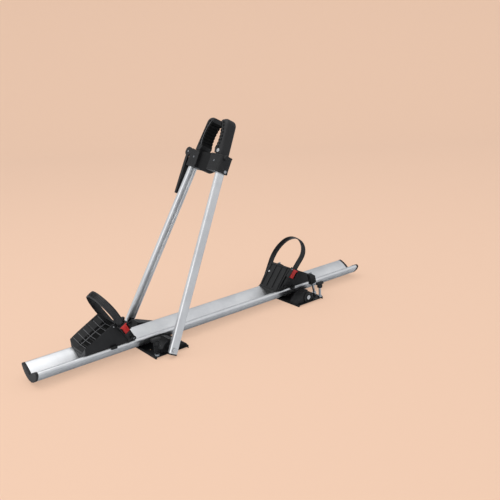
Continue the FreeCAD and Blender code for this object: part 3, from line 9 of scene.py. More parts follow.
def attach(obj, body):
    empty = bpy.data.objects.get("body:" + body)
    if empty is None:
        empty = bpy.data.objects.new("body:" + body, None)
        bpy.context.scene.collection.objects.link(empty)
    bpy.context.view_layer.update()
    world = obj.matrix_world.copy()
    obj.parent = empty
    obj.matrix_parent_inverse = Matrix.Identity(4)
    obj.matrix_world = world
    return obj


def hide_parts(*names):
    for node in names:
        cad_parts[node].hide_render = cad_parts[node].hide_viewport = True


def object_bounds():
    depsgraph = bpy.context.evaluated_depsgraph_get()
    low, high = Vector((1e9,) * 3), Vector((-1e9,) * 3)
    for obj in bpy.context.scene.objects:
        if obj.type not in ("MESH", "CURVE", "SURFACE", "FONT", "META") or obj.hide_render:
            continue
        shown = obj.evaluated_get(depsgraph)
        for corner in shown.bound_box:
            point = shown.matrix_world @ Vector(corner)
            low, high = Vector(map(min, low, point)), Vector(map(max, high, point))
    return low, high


bl_info = {
    "name": "Bike Carrier",
    "version": (1, 0, 0),
    "blender": (4, 5, 0),
    "location": "3D View > Sidebar > Bike Carrier",
    "description": "Dresses the packed bike carrier with detailed pieces and finishes",
    "category": "Object",
}

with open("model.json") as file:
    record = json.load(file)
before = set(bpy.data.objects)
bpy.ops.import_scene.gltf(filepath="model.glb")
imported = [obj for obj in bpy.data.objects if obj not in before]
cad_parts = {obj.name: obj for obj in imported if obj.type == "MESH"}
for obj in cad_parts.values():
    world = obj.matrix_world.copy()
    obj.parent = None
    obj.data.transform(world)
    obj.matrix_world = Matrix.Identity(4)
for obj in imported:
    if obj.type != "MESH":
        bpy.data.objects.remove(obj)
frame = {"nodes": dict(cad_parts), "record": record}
cad_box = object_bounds()

MM = 0.001

# Places and sizes that the solids fix, in millimetres; sides run from near (-1) to far (1)

SIDES = (("near", -1), ("far", 1))
PIVOT = Vector((-251.5, 0.0, 22.0)) * MM
FRAME_LEAN = math.radians(27.4)
STRAP_LEAN = math.radians(31.0)
# For each strap, its foot's place along the rail and the way in which its cradle falls
STRAP_FOOT = {"front": (-376.0, -1), "rear": (290.0, 1)}
CRADLE_BACK = {"front": -324.0, "rear": 222.0}
CRADLE_BASE = 48.6
CRADLE_PEAK = 122.0
PEAK_REACH = 59.0
CRADLE_TOP_HALF = 52.0
RAMP_DROP = 49.0
RAMP_RUN = 99.0
CHANNEL_DEPTH = 24.0
CHANNEL_HALF = 20.0
KNOB_X = {"front": -291.0, "rear": 369.0}
KNOB_Y = 104.0
KNOB_BOTTOM = 42.0

BACK_LEAN = math.atan2(PEAK_REACH, CRADLE_PEAK - CRADLE_BASE)
RAMP_FALL = math.atan2(RAMP_DROP, RAMP_RUN)
CHANNEL_TILT = math.atan2(CHANNEL_DEPTH, CRADLE_TOP_HALF - CHANNEL_HALF)
FACING_X = Matrix.Rotation(math.pi / 2, 4, "Y")


def facing_y(side):
    """Turns a piece that stands along Z so that it looks out of the near or the far side."""
    return Matrix.Rotation(-side * math.pi / 2, 4, "X")


def colour(text):
    """Linear colour of an sRGB hex value."""
    parts = [int(text[i:i + 2], 16) / 255 for i in (1, 3, 5)]
    linear = [c / 12.92 if c <= 0.04045 else ((c + 0.055) / 1.055) ** 2.4 for c in parts]
    return (*linear, 1.0)


# Materials

def add(tree, kind, values=None, links=None, **settings):
    """Adds a node with values for its sockets, links from other sockets and settings."""
    node = tree.nodes.new(kind)
    for name, value in settings.items():
        setattr(node, name, value)
    for name, value in (values or {}).items():
        node.inputs[name].default_value = value
    for name, source in (links or {}).items():
        tree.links.new(source, node.inputs[name])
    return node


def new_material(name):
    """An empty node material and its tree."""
    material = bpy.data.materials.new(name)
    material.use_nodes = True
    material.node_tree.nodes.clear()
    return material, material.node_tree


def object_coordinates(tree, scale=(1, 1, 1), turn=(0, 0, 0)):
    """Object coordinates in metres, turned and scaled."""
    place = add(tree, "ShaderNodeTexCoord")
    mapping = add(
        tree,
        "ShaderNodeMapping",
        values={"Scale": scale, "Rotation": turn},
        links={"Vector": place.outputs["Object"]},
    )
    return mapping.outputs["Vector"]


def two_tones(tree, factor, dark, light):
    """A soft mix of two colours that follows a noise."""
    ramp = add(tree, "ShaderNodeValToRGB", links={"Fac": factor})
    ramp.color_ramp.elements[0].position = 0.32
    ramp.color_ramp.elements[0].color = colour(dark)
    ramp.color_ramp.elements[1].position = 0.68
    ramp.color_ramp.elements[1].color = colour(light)
    return ramp.outputs["Color"]


def anodised_aluminium(name, turn=(0, 0, 0)):
    """Satin anodised extrusion, with die lines along its length and a broad soft highlight."""
    material, tree = new_material(name)
    # Die lines about 1 mm apart, coarser than real ones so that they show
    lines = add(
        tree,
        "ShaderNodeTexNoise",
        values={"Scale": 1.0, "Detail": 2.0, "Roughness": 0.6},
        links={"Vector": object_coordinates(tree, (2.0, 1000.0, 1000.0), turn)},
    )
    # Uneven haze of the anodic layer in patches of about 60 mm
    haze = add(
        tree,
        "ShaderNodeTexNoise",
        values={"Scale": 16.0, "Detail": 3.0, "Roughness": 0.55},
        links={"Vector": object_coordinates(tree)},
    )
    rough = add(
        tree,
        "ShaderNodeMapRange",
        values={"To Min": 0.27, "To Max": 0.42},
        links={"Value": lines.outputs["Fac"]},
    )
    bump = add(
        tree,
        "ShaderNodeBump",
        values={"Strength": 0.10, "Distance": 0.2 * MM},
        links={"Height": lines.outputs["Fac"]},
    )
    shader = add(
        tree,
        "ShaderNodeBsdfPrincipled",
        values={"Metallic": 1.0},
        links={
            "Base Color": two_tones(tree, haze.outputs["Fac"], "#d4d5d7", "#e2e3e4"),
            "Roughness": rough.outputs["Result"],
            "Normal": bump.outputs["Normal"],
        },
    )
    add(tree, "ShaderNodeOutputMaterial", links={"Surface": shader.outputs["BSDF"]})
    return material


def grained(name, dark, light, rough, grain, depth, metallic=0.0, patch=40.0, sheen=0.5):
    """Two close tones in patches, uneven gloss and a fine grain; grain, depth and patch are in mm."""
    material, tree = new_material(name)
    place = object_coordinates(tree)
    patches = add(
        tree,
        "ShaderNodeTexNoise",
        values={"Scale": 1000.0 / patch, "Detail": 4.0, "Roughness": 0.6},
        links={"Vector": place},
    )
    fine = add(
        tree,
        "ShaderNodeTexNoise",
        values={"Scale": 1000.0 / grain, "Detail": 2.0, "Roughness": 0.5},
        links={"Vector": place},
    )
    gloss = add(
        tree,
        "ShaderNodeMapRange",
        values={"To Min": rough - 0.06, "To Max": rough + 0.08},
        links={"Value": patches.outputs["Fac"]},
    )
    bump = add(
        tree,
        "ShaderNodeBump",
        values={"Strength": 0.5, "Distance": depth * MM},
        links={"Height": fine.outputs["Fac"]},
    )
    shader = add(
        tree,
        "ShaderNodeBsdfPrincipled",
        values={"Metallic": metallic, "Specular IOR Level": sheen},
        links={
            "Base Color": two_tones(tree, patches.outputs["Fac"], dark, light),
            "Roughness": gloss.outputs["Result"],
            "Normal": bump.outputs["Normal"],
        },
    )
    add(tree, "ShaderNodeOutputMaterial", links={"Surface": shader.outputs["BSDF"]})
    return material


def stage_paint(name, tone, glow):
    """Matt mottled paper: the camera sees its tone, partly as a glow, and the carrier a grey white."""
    material, tree = new_material(name)
    mottle = add(
        tree,
        "ShaderNodeTexNoise",
        values={"Scale": 9.0, "Detail": 2.0},
        links={"Vector": object_coordinates(tree)},
    )
    rough = add(
        tree,
        "ShaderNodeMapRange",
        values={"To Min": 0.85, "To Max": 0.95},
        links={"Value": mottle.outputs["Fac"]},
    )
    path = add(tree, "ShaderNodeLightPath")
    seen = tuple(c * (1.0 - glow) for c in tone)
    paper = add(
        tree,
        "ShaderNodeMixRGB",
        values={"Color1": colour("#d0d1d3"), "Color2": (*seen, 1.0)},
        links={"Fac": path.outputs["Is Camera Ray"]},
    )
    shine = add(
        tree,
        "ShaderNodeMath",
        values={1: glow},
        links={0: path.outputs["Is Camera Ray"]},
        operation="MULTIPLY",
    )
    shader = add(
        tree,
        "ShaderNodeBsdfPrincipled",
        values={"Specular IOR Level": 0.1, "Emission Color": (*tone, 1.0)},
        links={
            "Base Color": paper.outputs["Color"],
            "Roughness": rough.outputs["Result"],
            "Emission Strength": shine.outputs["Value"],
        },
    )
    add(tree, "ShaderNodeOutputMaterial", links={"Surface": shader.outputs["BSDF"]})
    return material


finishes = {}


def make_finishes():
    """Fills the table of finishes, one for each slot of the record and one for each arm."""
    lean = math.pi / 2 - FRAME_LEAN
    finishes.update({
        # Satin anodised extrusions: bright, with a long soft highlight
        "aluminium": anodised_aluminium("Anodised aluminium extrusion"),
        "arms": anodised_aluminium("Anodised aluminium arm channel", (0.0, lean, 0.0)),
        # Glass-filled nylon from a textured mould: charcoal black, dull, with a 1 mm grain
        "black_plastic": grained(
            "Moulded nylon", "#121213", "#1b1b1c", 0.48, 1.1, 0.10, sheen=0.35
        ),
        # The same nylon from an unpolished mould, with less sheen; its tone is darkened as painted
        # shade for the bridge, which sits in shade
        "painted_shade_plastic": grained(
            "Moulded nylon, painted shade", "#0b0b0c", "#121213", 0.62, 1.1, 0.14, sheen=0.2
        ),
        # The same nylon in a pale grey that stands for a painted highlight on rib crests and the far
        # jaw's rim
        "painted_highlight_plastic": grained(
            "Nylon edges, painted highlight", "#5c5c5e", "#6c6c6e", 0.42, 0.9, 0.08, patch=12.0
        ),
        # Flexible nylon of the toothed straps: smoother and a little glossier
        "black_strap": grained("Strap nylon", "#121213", "#1b1b1c", 0.40, 0.9, 0.05),
        # Vulcanised EPDM rubber: flat black with a chalky bloom
        "black_rubber": grained(
            "EPDM rubber", "#060606", "#0d0d0d", 0.80, 0.8, 0.12, patch=25.0, sheen=0.15
        ),
        # Glossy injection-moulded ABS in signal red
        "red_plastic": grained("Red ABS", "#b01f1c", "#c82a25", 0.32, 1.4, 0.04),
        # Powder coat on pressed steel: black with an orange peel of about 2 mm
        "black_steel": grained(
            "Black powder coat", "#0a0a0b", "#121213", 0.45, 2.2, 0.09, sheen=0.25
        ),
        # Bright zinc plating: faintly blue and patchy
        "zinc_steel": grained(
            "Zinc-plated steel", "#a9adb3", "#c3c6c9", 0.30, 0.9, 0.02, metallic=1.0, patch=12.0
        ),
        # Chromium plating: clean and sharp
        "chrome": grained(
            "Chrome-plated steel", "#cfd0d2", "#dcdddd", 0.14, 0.7, 0.01, metallic=1.0, patch=20.0
        ),
    })


# The bridge gets the darker nylon as painted shade; the arms get die lines turned along them.
OWN_FINISH = {"arm_near": "arms", "arm_far": "arms", "bridge": "painted_shade_plastic"}


def dress_nodes():
    """Gives every CAD node the finish of its slot, or the one of its own."""
    for row in frame["record"]["subparts"]:
        name = row["node"]
        finish = OWN_FINISH.get(name, row["material_slot"])
        mesh = frame["nodes"][name].data
        mesh.materials.clear()
        mesh.materials.append(finishes[finish])


# Meshes

DISC_SIDES = 48
SHARP_ANGLE = math.radians(35.0)


def round_edges(bm, edges, offset, segments=2):
    """Bevels edges with a round section."""
    bmesh.ops.bevel(
        bm,
        geom=edges,
        offset=offset,
        offset_type="OFFSET",
        affect="EDGES",
        segments=segments,
        profile=0.5,
        material=-1,
        clamp_overlap=True,
    )


def block(length, width, height, edge=0.0, segments=2):
    """A block about the origin with rounded edges."""
    bm = bmesh.new()
    bmesh.ops.create_cube(bm, size=1.0)
    bmesh.ops.scale(bm, vec=(length, width, height), verts=bm.verts)
    if edge > 0:
        round_edges(bm, bm.edges[:], edge, segments)
    return bm


def disc(radius, height, edge=0.0, top=None):
    """A round bar about the origin along Z with rounded rims; top is its radius at the upper end."""
    bm = bmesh.new()
    bmesh.ops.create_cone(
        bm,
        cap_ends=True,
        segments=DISC_SIDES,
        radius1=radius,
        radius2=radius if top is None else top,
        depth=height,
    )
    if edge > 0:
        rims = {e for f in bm.faces if len(f.verts) > 4 for e in f.edges}
        round_edges(bm, list(rims), edge)
    return bm


def moved(bm, matrix):
    """The same bmesh after a transform."""
    bmesh.ops.transform(bm, matrix=matrix, verts=bm.verts)
    return bm


def at(x, y, z, turn=(0, 0, 0)):
    """A place in millimetres with a turn in degrees."""
    spin = Euler([math.radians(a) for a in turn]).to_matrix().to_4x4()
    return Matrix.Translation(Vector((x, y, z)) * MM) @ spin


def joined(parts):
    """One bmesh with the geometry of several."""
    whole = bmesh.new()
    for part in parts:
        mesh = bpy.data.meshes.new("part")
        part.to_mesh(mesh)
        part.free()
        whole.from_mesh(mesh)
        bpy.data.meshes.remove(mesh)
    return whole


def finish_piece(name, bm, slot, body, replaces=(), finish=None):
    """Makes an object of a mesh, gives it its finish and lets it ride on its body."""
    bmesh.ops.recalc_face_normals(bm, faces=bm.faces)
    mesh = bpy.data.meshes.new(name)
    bm.to_mesh(mesh)
    bm.free()
    piece = bpy.data.objects.new(name, mesh)
    bpy.context.scene.collection.objects.link(piece)
    mesh.materials.append(finishes[finish or slot])
    mesh.shade_smooth()
    mesh.set_sharp_from_angle(angle=SHARP_ANGLE)
    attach(piece, body)
    if replaces:
        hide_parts(*replaces)
    return piece


def strap_plane(word):
    """From the plane that a strap lies in to its place on the cradle."""
    x, way = STRAP_FOOT[word]
    return at(x, 0.0, CRADLE_PEAK) @ Matrix.Rotation(STRAP_LEAN * way, 4, "Y")


def ramp_plane(word):
    """A frame on the edge between a cradle's back and ramp: X down the ramp, Z off its surface."""
    way = STRAP_FOOT[word][1]
    top = at(CRADLE_BACK[word] + way * PEAK_REACH, 0.0, CRADLE_PEAK)
    slope = top @ Matrix.Rotation(RAMP_FALL * way, 4, "Y")
    return slope @ Matrix.Rotation(math.pi if way < 0 else 0.0, 4, "Z")


def back_plane(word):
    """A frame at the foot of a cradle's back: Z up the back, X off its surface."""
    way = STRAP_FOOT[word][1]
    foot = at(CRADLE_BACK[word], 0.0, CRADLE_BASE)
    slope = foot @ Matrix.Rotation(BACK_LEAN * way, 4, "Y")
    return slope @ Matrix.Rotation(math.pi if way > 0 else 0.0, 4, "Z")


def frame_plane():
    """The frame's own plane: Z up along its arms, X off its face towards the rear."""
    return Matrix.Translation(PIVOT) @ Matrix.Rotation(FRAME_LEAN, 4, "Y")


# Straps

# The strap's middle line in its own plane: a crown between two wider bends, each with a straight leg
CROWN = Vector((-17.0, 38.0))
CROWN_RADIUS = 62.0
FAR_RADIUS = 110.0
NEAR_RADIUS = 48.0
FAR_CROWN, FAR_END = 50.0, 95.0
NEAR_CROWN, NEAR_END = -50.0, -103.0
FAR_LEG = 76.0
NEAR_LEG = 117.0


def outwards(angle):
    """Direction in the strap's plane at an angle in degrees from straight up, far side positive."""
    a = math.radians(angle)
    return Vector((math.sin(a), math.cos(a)))


FAR_CENTRE = CROWN + outwards(FAR_CROWN) * (CROWN_RADIUS - FAR_RADIUS)
NEAR_CENTRE = CROWN + outwards(NEAR_CROWN) * (CROWN_RADIUS - NEAR_RADIUS)
ARCS = (
    (FAR_CENTRE, FAR_RADIUS, FAR_END, FAR_CROWN),
    (CROWN, CROWN_RADIUS, FAR_CROWN, NEAR_CROWN),
    (NEAR_CENTRE, NEAR_RADIUS, NEAR_CROWN, NEAR_END),
)
STRAP_LENGTH = FAR_LEG + NEAR_LEG + sum(math.radians(a - b) * r for _, r, a, b in ARCS)
STRAP_STEP = 3.0
BAND_WIDTH = 22.0
EDGE_RAIL_WIDTH = 2.2
EDGE_RAIL_X = 9.6
TOOTH_LENGTH = 2.6
TOOTH_FOOT, TOOTH_TOP = 0.1, 1.45
TOOTH_START = 30.0
TOOTH_STOP = STRAP_LENGTH - 20.0


def strap_point(along):
    """Place on the strap's middle line and its outward angle, counted from its far end."""
    if along < FAR_LEG:
        top = FAR_CENTRE + outwards(FAR_END) * FAR_RADIUS
        return top - outwards(FAR_END - 90.0) * (FAR_LEG - along), FAR_END
    along -= FAR_LEG
    for centre, radius, first, last in ARCS:
        length = math.radians(first - last) * radius
        if along <= length:
            angle = first - math.degrees(along / radius)
            return centre + outwards(angle) * radius, angle
        along -= length
    top = NEAR_CENTRE + outwards(NEAR_END) * NEAR_RADIUS
    return top + outwards(NEAR_END - 90.0) * along, NEAR_END


def on_strap(along, out=0.0):
    """A frame at a distance along the strap: X across it, Y towards its far end, Z outwards."""
    point, angle = strap_point(along)
    point = point + outwards(angle) * out
    origin = Matrix.Translation(Vector((0.0, point.x, point.y)) * MM)
    return origin @ Matrix.Rotation(math.radians(-angle), 4, "X")


def swept(section, places):
    """A closed bar that carries a flat section along a row of frames."""
    front = section.faces[:]
    moved(section, places[0])
    for before, place in zip(places, places[1:]):
        grown = bmesh.ops.extrude_face_region(section, geom=front)["geom"]
        front = [g for g in grown if isinstance(g, bmesh.types.BMFace)]
        verts = [g for g in grown if isinstance(g, bmesh.types.BMVert)]
        bmesh.ops.transform(section, matrix=place @ before.inverted(), verts=verts)
    return section


def bar_section(width, low, high, edge):
    """A flat section with rounded corners, X across and Z up, for a bar that runs along Y."""
    bm = bmesh.new()
    bmesh.ops.create_grid(bm, x_segments=1, y_segments=1, size=0.5)
    bmesh.ops.scale(bm, vec=Vector((width, high - low, 1.0)) * MM, verts=bm.verts)
    bmesh.ops.translate(bm, vec=Vector((0.0, (high + low) / 2, 0.0)) * MM, verts=bm.verts)
    bmesh.ops.rotate(bm, cent=(0, 0, 0), matrix=Matrix.Rotation(math.pi / 2, 3, "X"), verts=bm.verts)
    bmesh.ops.bevel(
        bm,
        geom=bm.verts[:],
        offset=edge * MM,
        affect="VERTICES",
        segments=2,
        profile=0.5,
        material=-1,
    )
    return bm


def strap_band(width, low, high, edge):
    """A closed strip along the strap's whole line, from one height over it to another."""
    count = round(STRAP_LENGTH / STRAP_STEP)
    places = [on_strap(STRAP_LENGTH * index / count) for index in range(count + 1)]
    return swept(bar_section(width, low, high, edge), places)


def strap_teeth(width, pitch):
    """Rungs across the strap's outer face, each with one steep and one sloping side."""
    parts = []
    for index in range(int((TOOTH_STOP - TOOTH_START) / pitch)):
        rung = block(width * MM, TOOTH_LENGTH * MM, (TOOTH_TOP - TOOTH_FOOT) * MM)
        crest = [v for v in rung.verts if v.co.z > 0]
        bmesh.ops.scale(rung, vec=(0.94, 0.45, 1.0), verts=crest)
        bmesh.ops.translate(rung, vec=(0.0, -TOOTH_LENGTH * 0.2 * MM, 0.0), verts=crest)
        round_edges(rung, rung.edges[:], 0.15 * MM, 1)
        place = on_strap(TOOTH_START + index * pitch, (TOOTH_FOOT + TOOTH_TOP) / 2)
        parts.append(moved(rung, place))
    return parts


class CARRIER_PG_strap(bpy.types.PropertyGroup):
    tooth_pitch: bpy.props.FloatProperty(
        name="Tooth pitch",
        description="Distance between the rungs of a strap in millimetres",
        default=4.2,
        min=2.0,
    )
    tooth_width: bpy.props.FloatProperty(
        name="Tooth width",
        description="Width of the rungs in millimetres",
        default=14.0,
        min=4.0,
    )


class CARRIER_OT_straps(bpy.types.Operator):
    """Make the two toothed straps"""

    bl_idname = "carrier.straps"
    bl_label = "Toothed straps"

    def execute(self, context):
        sizes = context.scene.carrier_strap
        for word in ("front", "rear"):
            parts = [strap_band(BAND_WIDTH, -1.2, 0.2, 0.35)]
            parts += strap_teeth(sizes.tooth_width, sizes.tooth_pitch)
            for side in (-1, 1):
                rail = strap_band(EDGE_RAIL_WIDTH, 0.1, 1.0, 0.3)
                bmesh.ops.translate(rail, vec=(side * EDGE_RAIL_X * MM, 0, 0), verts=rail.verts)
                parts.append(rail)
            whole = moved(joined(parts), strap_plane(word))
            body = word + "_holder"
            finish_piece(word + "_strap_band", whole, "black_strap", body, [word + "_strap"])
        return {"FINISHED"}


# Ratchet buckles

# Distances along the strap of the buckle's upper end and of the hinge of its lever
BUCKLE_TOP = STRAP_LENGTH - NEAR_LEG + 39.0
HINGE = STRAP_LENGTH - NEAR_LEG + 44.4
BUCKLE_LENGTH = 36.0
CHEEK_X = 13.2
# Distance from the buckle's upper end and height of the ledges that join its cheeks
LEDGES = ((1.6, 5.4), (34.6, 3.6))
BLADE_WIDTH = 17.0
BLADE_LENGTH = 28.0
GRIP_LENGTH = 19.0


def buckle_frame(plane):
    """A base under the strap with two round-shouldered cheeks and the ledges between them."""
    middle = BUCKLE_TOP + BUCKLE_LENGTH / 2
    base = block(28.0 * MM, BUCKLE_LENGTH * MM, 2.2 * MM, 0.5 * MM)
    parts = [moved(base, plane @ on_strap(middle, -2.8))]
    for side in (-1, 1):
        cheek = block(2.0 * MM, BUCKLE_LENGTH * MM, 13.2 * MM)
        tall = [e for e in cheek.edges if all(v.co.z > 0 for v in e.verts)]
        ends = [e for e in tall if abs(e.verts[0].co.y - e.verts[1].co.y) < 0.001 * MM]
        round_edges(cheek, ends, 5.0 * MM, 5)
        parts.append(moved(cheek, plane @ on_strap(middle, 2.8) @ at(side * CHEEK_X, 0, 0)))
    for along, height in LEDGES:
        ledge = block(25.0 * MM, 2.6 * MM, height * MM, 0.6 * MM)
        parts.append(moved(ledge, plane @ on_strap(BUCKLE_TOP + along, 1.8 + height / 2)))
    return joined(parts)


def release_grip(plane, ribs):
    """A ribbed lever with a lip at its end and a hub round its hinge pin."""
    blade = block(BLADE_WIDTH * MM, BLADE_LENGTH * MM, 4.0 * MM, 1.3 * MM, 3)
    parts = [moved(blade, plane @ on_strap(HINGE + BLADE_LENGTH / 2, 6.3))]
    hub = moved(disc(3.3 * MM, 22.6 * MM, 0.4 * MM), FACING_X)
    parts.append(moved(hub, plane @ on_strap(HINGE, 5.0)))
    for index in range(ribs):
        rib = block(14.5 * MM, 1.1 * MM, 1.0 * MM, 0.35 * MM)
        along = HINGE + 5.0 + index * GRIP_LENGTH / ribs
        parts.append(moved(rib, plane @ on_strap(along, 8.4)))
    lip = block(BLADE_WIDTH * MM, 2.6 * MM, 2.2 * MM, 0.8 * MM)
    parts.append(moved(lip, plane @ on_strap(HINGE + 26.6, 8.3)))
    return joined(parts)


class CARRIER_PG_buckle(bpy.types.PropertyGroup):
    grip_ribs: bpy.props.IntProperty(
        name="Grip ribs",
        description="Number of ribs across a release lever",
        default=7,
        min=1,
    )


class CARRIER_OT_buckles(bpy.types.Operator):
    """Make the ratchet buckles and their red release levers"""

    bl_idname = "carrier.buckles"
    bl_label = "Ratchet buckles"

    def execute(self, context):
        ribs = context.scene.carrier_buckle.grip_ribs
        for word in ("front", "rear"):
            plane = strap_plane(word)
            whole = buckle_frame(plane)
            body = word + "_holder"
            finish_piece(word + "_buckle_frame", whole, "black_plastic", body, [word + "_buckle"])
            whole = release_grip(plane, ribs)
            body = word + "_release_lever"
            finish_piece(word + "_release_grip", whole, "red_plastic", body, [word + "_release"])
        return {"FINISHED"}


# Wheel holders

RIB_START = 10.0
RIB_SPAN = 92.0
RIB_WIDTH = 1.3
CHANNEL_SIDE = 31.0
LONG_RIB_Y = 19.0
LINING_START = 6.0
LINING_LENGTH = 98.0
BUMPS_ALONG = (14.0, 27.0)
# Place across the back and width of its upright ribs, height and width of its level ones
UPRIGHT_RIBS = ((39.0, 5.0), (14.0, 4.0), (-14.0, 4.0), (-39.0, 5.0))
LEVEL_RIBS = ((90.0, 88.0), (6.0, 80.0))
RIVET_Y = 33.0
RIVET_RISE = 60.0
# Radius and length of the lug, its eyelet and the hole's dark inside
LUG, EYELET, EYE = (6.4, 5.0), (3.4, 6.4), (1.8, 7.4)


def channel_plates(along, length, thickness, lift, edge, side_length):
    """Plates over the tyre channel's floor and both its slanting sides, lifted off their surface."""
    bed = lift - CHANNEL_DEPTH
    floor = block(length * MM, CHANNEL_HALF * 2 * MM, thickness * MM, edge * MM)
    parts = [moved(floor, at(along, 0.0, bed))]
    for side in (-1, 1):
        wall = block(length * MM, side_length * MM, thickness * MM, edge * MM)
        foot = at(along, side * CHANNEL_HALF, bed) @ Matrix.Rotation(side * CHANNEL_TILT, 4, "X")
        parts.append(moved(wall, foot @ at(0.0, side * CHANNEL_SIDE / 2, 0.0)))
    return parts


def channel_ribs(count, height):
    """Ribs across the tyre channel and two along its floor."""
    parts = []
    for index in range(count):
        along = RIB_START + index * RIB_SPAN / (count - 1)
        parts += channel_plates(along, RIB_WIDTH, height, 1.1, 0.3, CHANNEL_SIDE)
    for side in (-1, 1):
        long_rib = block(96.0 * MM, 1.5 * MM, 3.4 * MM, 0.3 * MM)
        middle = RIB_START + RIB_SPAN / 2
        parts.append(moved(long_rib, at(middle, side * LONG_RIB_Y, 1.3 - CHANNEL_DEPTH)))
    return joined(parts)


def channel_lining():
    """A thin dark skin in the tyre channel."""
    middle = LINING_START + LINING_LENGTH / 2
    return joined(channel_plates(middle, LINING_LENGTH, 0.8, 0.3, 0.2, CHANNEL_SIDE - 1.0))


def ridge_bumps():
    """Small round bumps on the upper edges of a cradle's sides."""
    parts = []
    for side in (-1, 1):
        for along in BUMPS_ALONG:
            bump = block(8.0 * MM, 5.0 * MM, 5.0 * MM, 1.6 * MM, 3)
            parts.append(moved(bump, at(along, side * 47.5, -1.6)))
    return joined(parts)


def back_ribs():
    """Upright and level ribs on a cradle's back."""
    parts = []
    for y, width in UPRIGHT_RIBS:
        rib = block(6.0 * MM, width * MM, 84.0 * MM, 1.2 * MM, 3)
        parts.append(moved(rib, at(0, y, 46.0)))
    for z, width in LEVEL_RIBS:
        rib = block(5.0 * MM, width * MM, 5.0 * MM, 1.2 * MM, 3)
        parts.append(moved(rib, at(0, 0, z)))
    return joined(parts)


def cradle_rivets(word):
    """A rivet in the far half of a cradle's back and one in each of its sides."""
    head = moved(disc(3.6 * MM, 2.2 * MM, 0.8 * MM, top=3.0 * MM), FACING_X)
    y = -RIVET_Y * STRAP_FOOT[word][1]
    parts = [moved(head, back_plane(word) @ at(0.6, y, RIVET_RISE))]
    for side in (-1, 1):
        head = moved(disc(2.4 * MM, 2.0 * MM, 0.7 * MM, top=1.8 * MM), facing_y(side))
        parts.append(moved(head, ramp_plane(word) @ at(12.0, side * 51.4, -6.0)))
    return joined(parts)


def lug_discs(*rounds):
    """Discs about the lugs at the lower rear corners of the front cradle's sides."""
    parts = []
    for side in (-1, 1):
        for radius, length in rounds:
            ring = moved(disc(radius * MM, length * MM, 0.4 * MM), facing_y(side))
            parts.append(moved(ring, at(CRADLE_BACK["front"] - 4.0, side * 44.0, 55.4)))
    return joined(parts)


class CARRIER_PG_holder(bpy.types.PropertyGroup):
    cross_ribs: bpy.props.IntProperty(
        name="Cross ribs",
        description="Number of ribs across each tyre channel",
        default=6,
        min=2,
    )
    rib_height: bpy.props.FloatProperty(
        name="Rib height",
        description="Height of the channel's ribs in millimetres",
        default=3.0,
        min=1.0,
    )


class CARRIER_OT_holders(bpy.types.Operator):
    """Make the ribs, linings, rivets and eyelets of the two wheel holders"""

    bl_idname = "carrier.holders"
    bl_label = "Wheel holders"

    def execute(self, context):
        sizes = context.scene.carrier_holder
        for word in ("front", "rear"):
            body = word + "_holder"
            ramp = ramp_plane(word)
            ribs = moved(channel_ribs(sizes.cross_ribs, sizes.rib_height), ramp)
            # Painted highlight: the channel ribs take the pale grey nylon for the light on their
            # crests.
            finish_piece(word + "_channel_ribs", ribs, "black_plastic", body, finish="painted_highlight_plastic")
            lining = moved(channel_lining(), ramp)
            finish_piece(word + "_channel_lining", lining, "black_rubber", body)
            bumps = moved(ridge_bumps(), ramp)
            finish_piece(word + "_ridge_bumps", bumps, "black_plastic", body)
            back = moved(back_ribs(), back_plane(word))
            finish_piece(word + "_back_ribs", back, "black_plastic", body)
            finish_piece(word + "_rivets", cradle_rivets(word), "chrome", body)
        finish_piece("front_lugs", lug_discs(LUG, EYE), "black_plastic", "front_holder")
        finish_piece("front_eyelets", lug_discs(EYELET), "zinc_steel", "front_holder")
        return {"FINISHED"}


# Clamping head

COLLAR_LOW = 530.0
COLLAR_HIGH = 582.0
COLLAR_HALF_DEPTH = 23.0
COLLAR_INNER = 31.0
COLLAR_OUTER = 82.0
COLLAR_CORNER = 11.0
CORNER_STEPS = 6
# The jaws' front face, and the middle of the far jaw's mouth: place across and height
JAW_FACE = -20.0
MOUTH = (-60.0, 624.4)
SLOT_START, SLOT_SPAN = -11.0, 41.0
RIM_START, RIM_SPAN = -14.0, 46.0
RIM_RADIUS = 102.4
RIM_STEPS = 24


def collar_band(side, low, high, proud):
    """A rib round the three outer faces of a collar, from one height to another."""
    half, corner = COLLAR_HALF_DEPTH, COLLAR_CORNER
    shoulder = COLLAR_OUTER - corner
    path = [((-half, COLLAR_INNER), 90.0)]
    for centre, first in (((corner - half, shoulder), 180.0), ((half - corner, shoulder), 90.0)):
        for step in range(CORNER_STEPS + 1):
            angle = first - step * 90.0 / CORNER_STEPS
            spot = (
                centre[0] + corner * math.cos(math.radians(angle)),
                centre[1] + corner * math.sin(math.radians(angle)),
            )
            path.append((spot, angle - 90.0))
    path.append(((half, COLLAR_INNER), -90.0))
    places = []
    for (u, y), heading in path:
        turn = Matrix.Rotation(math.radians(heading - 90.0), 4, "Z")
        places.append(at(u, y, (low + high) / 2) @ turn)
    section = bar_section(proud * 2, -(high - low) / 2, (high - low) / 2, 0.25)
    band = swept(section, places)
    if side < 0:
        bmesh.ops.scale(band, vec=(1.0, -1.0, 1.0), verts=band.verts)
        bmesh.ops.reverse_faces(band, faces=band.faces)
    return band


def collar_ribs(side, count):
    """Two broad bands at a collar's ends and fine ribs between them."""
    parts = [collar_band(side, COLLAR_LOW + 0.6, COLLAR_LOW + 6.0, 1.1)]
    parts.append(collar_band(side, COLLAR_HIGH - 5.0, COLLAR_HIGH - 0.6, 0.9))
    pitch = (COLLAR_HIGH - COLLAR_LOW - 14.0) / count
    for index in range(count):
        low = COLLAR_LOW + 7.6 + index * pitch
        parts.append(collar_band(side, low, low + pitch * 0.5, 0.5))
    return joined(parts)


def on_mouth(side, degrees, radius, u):
    """A place on a jaw's face at an angle and a radius about the middle of its mouth."""
    angle = math.radians(degrees)
    y = side * (MOUTH[0] + radius * math.cos(angle))
    z = MOUTH[1] + radius * math.sin(angle)
    return at(u, y, z) @ Matrix.Rotation(side * angle, 4, "X")


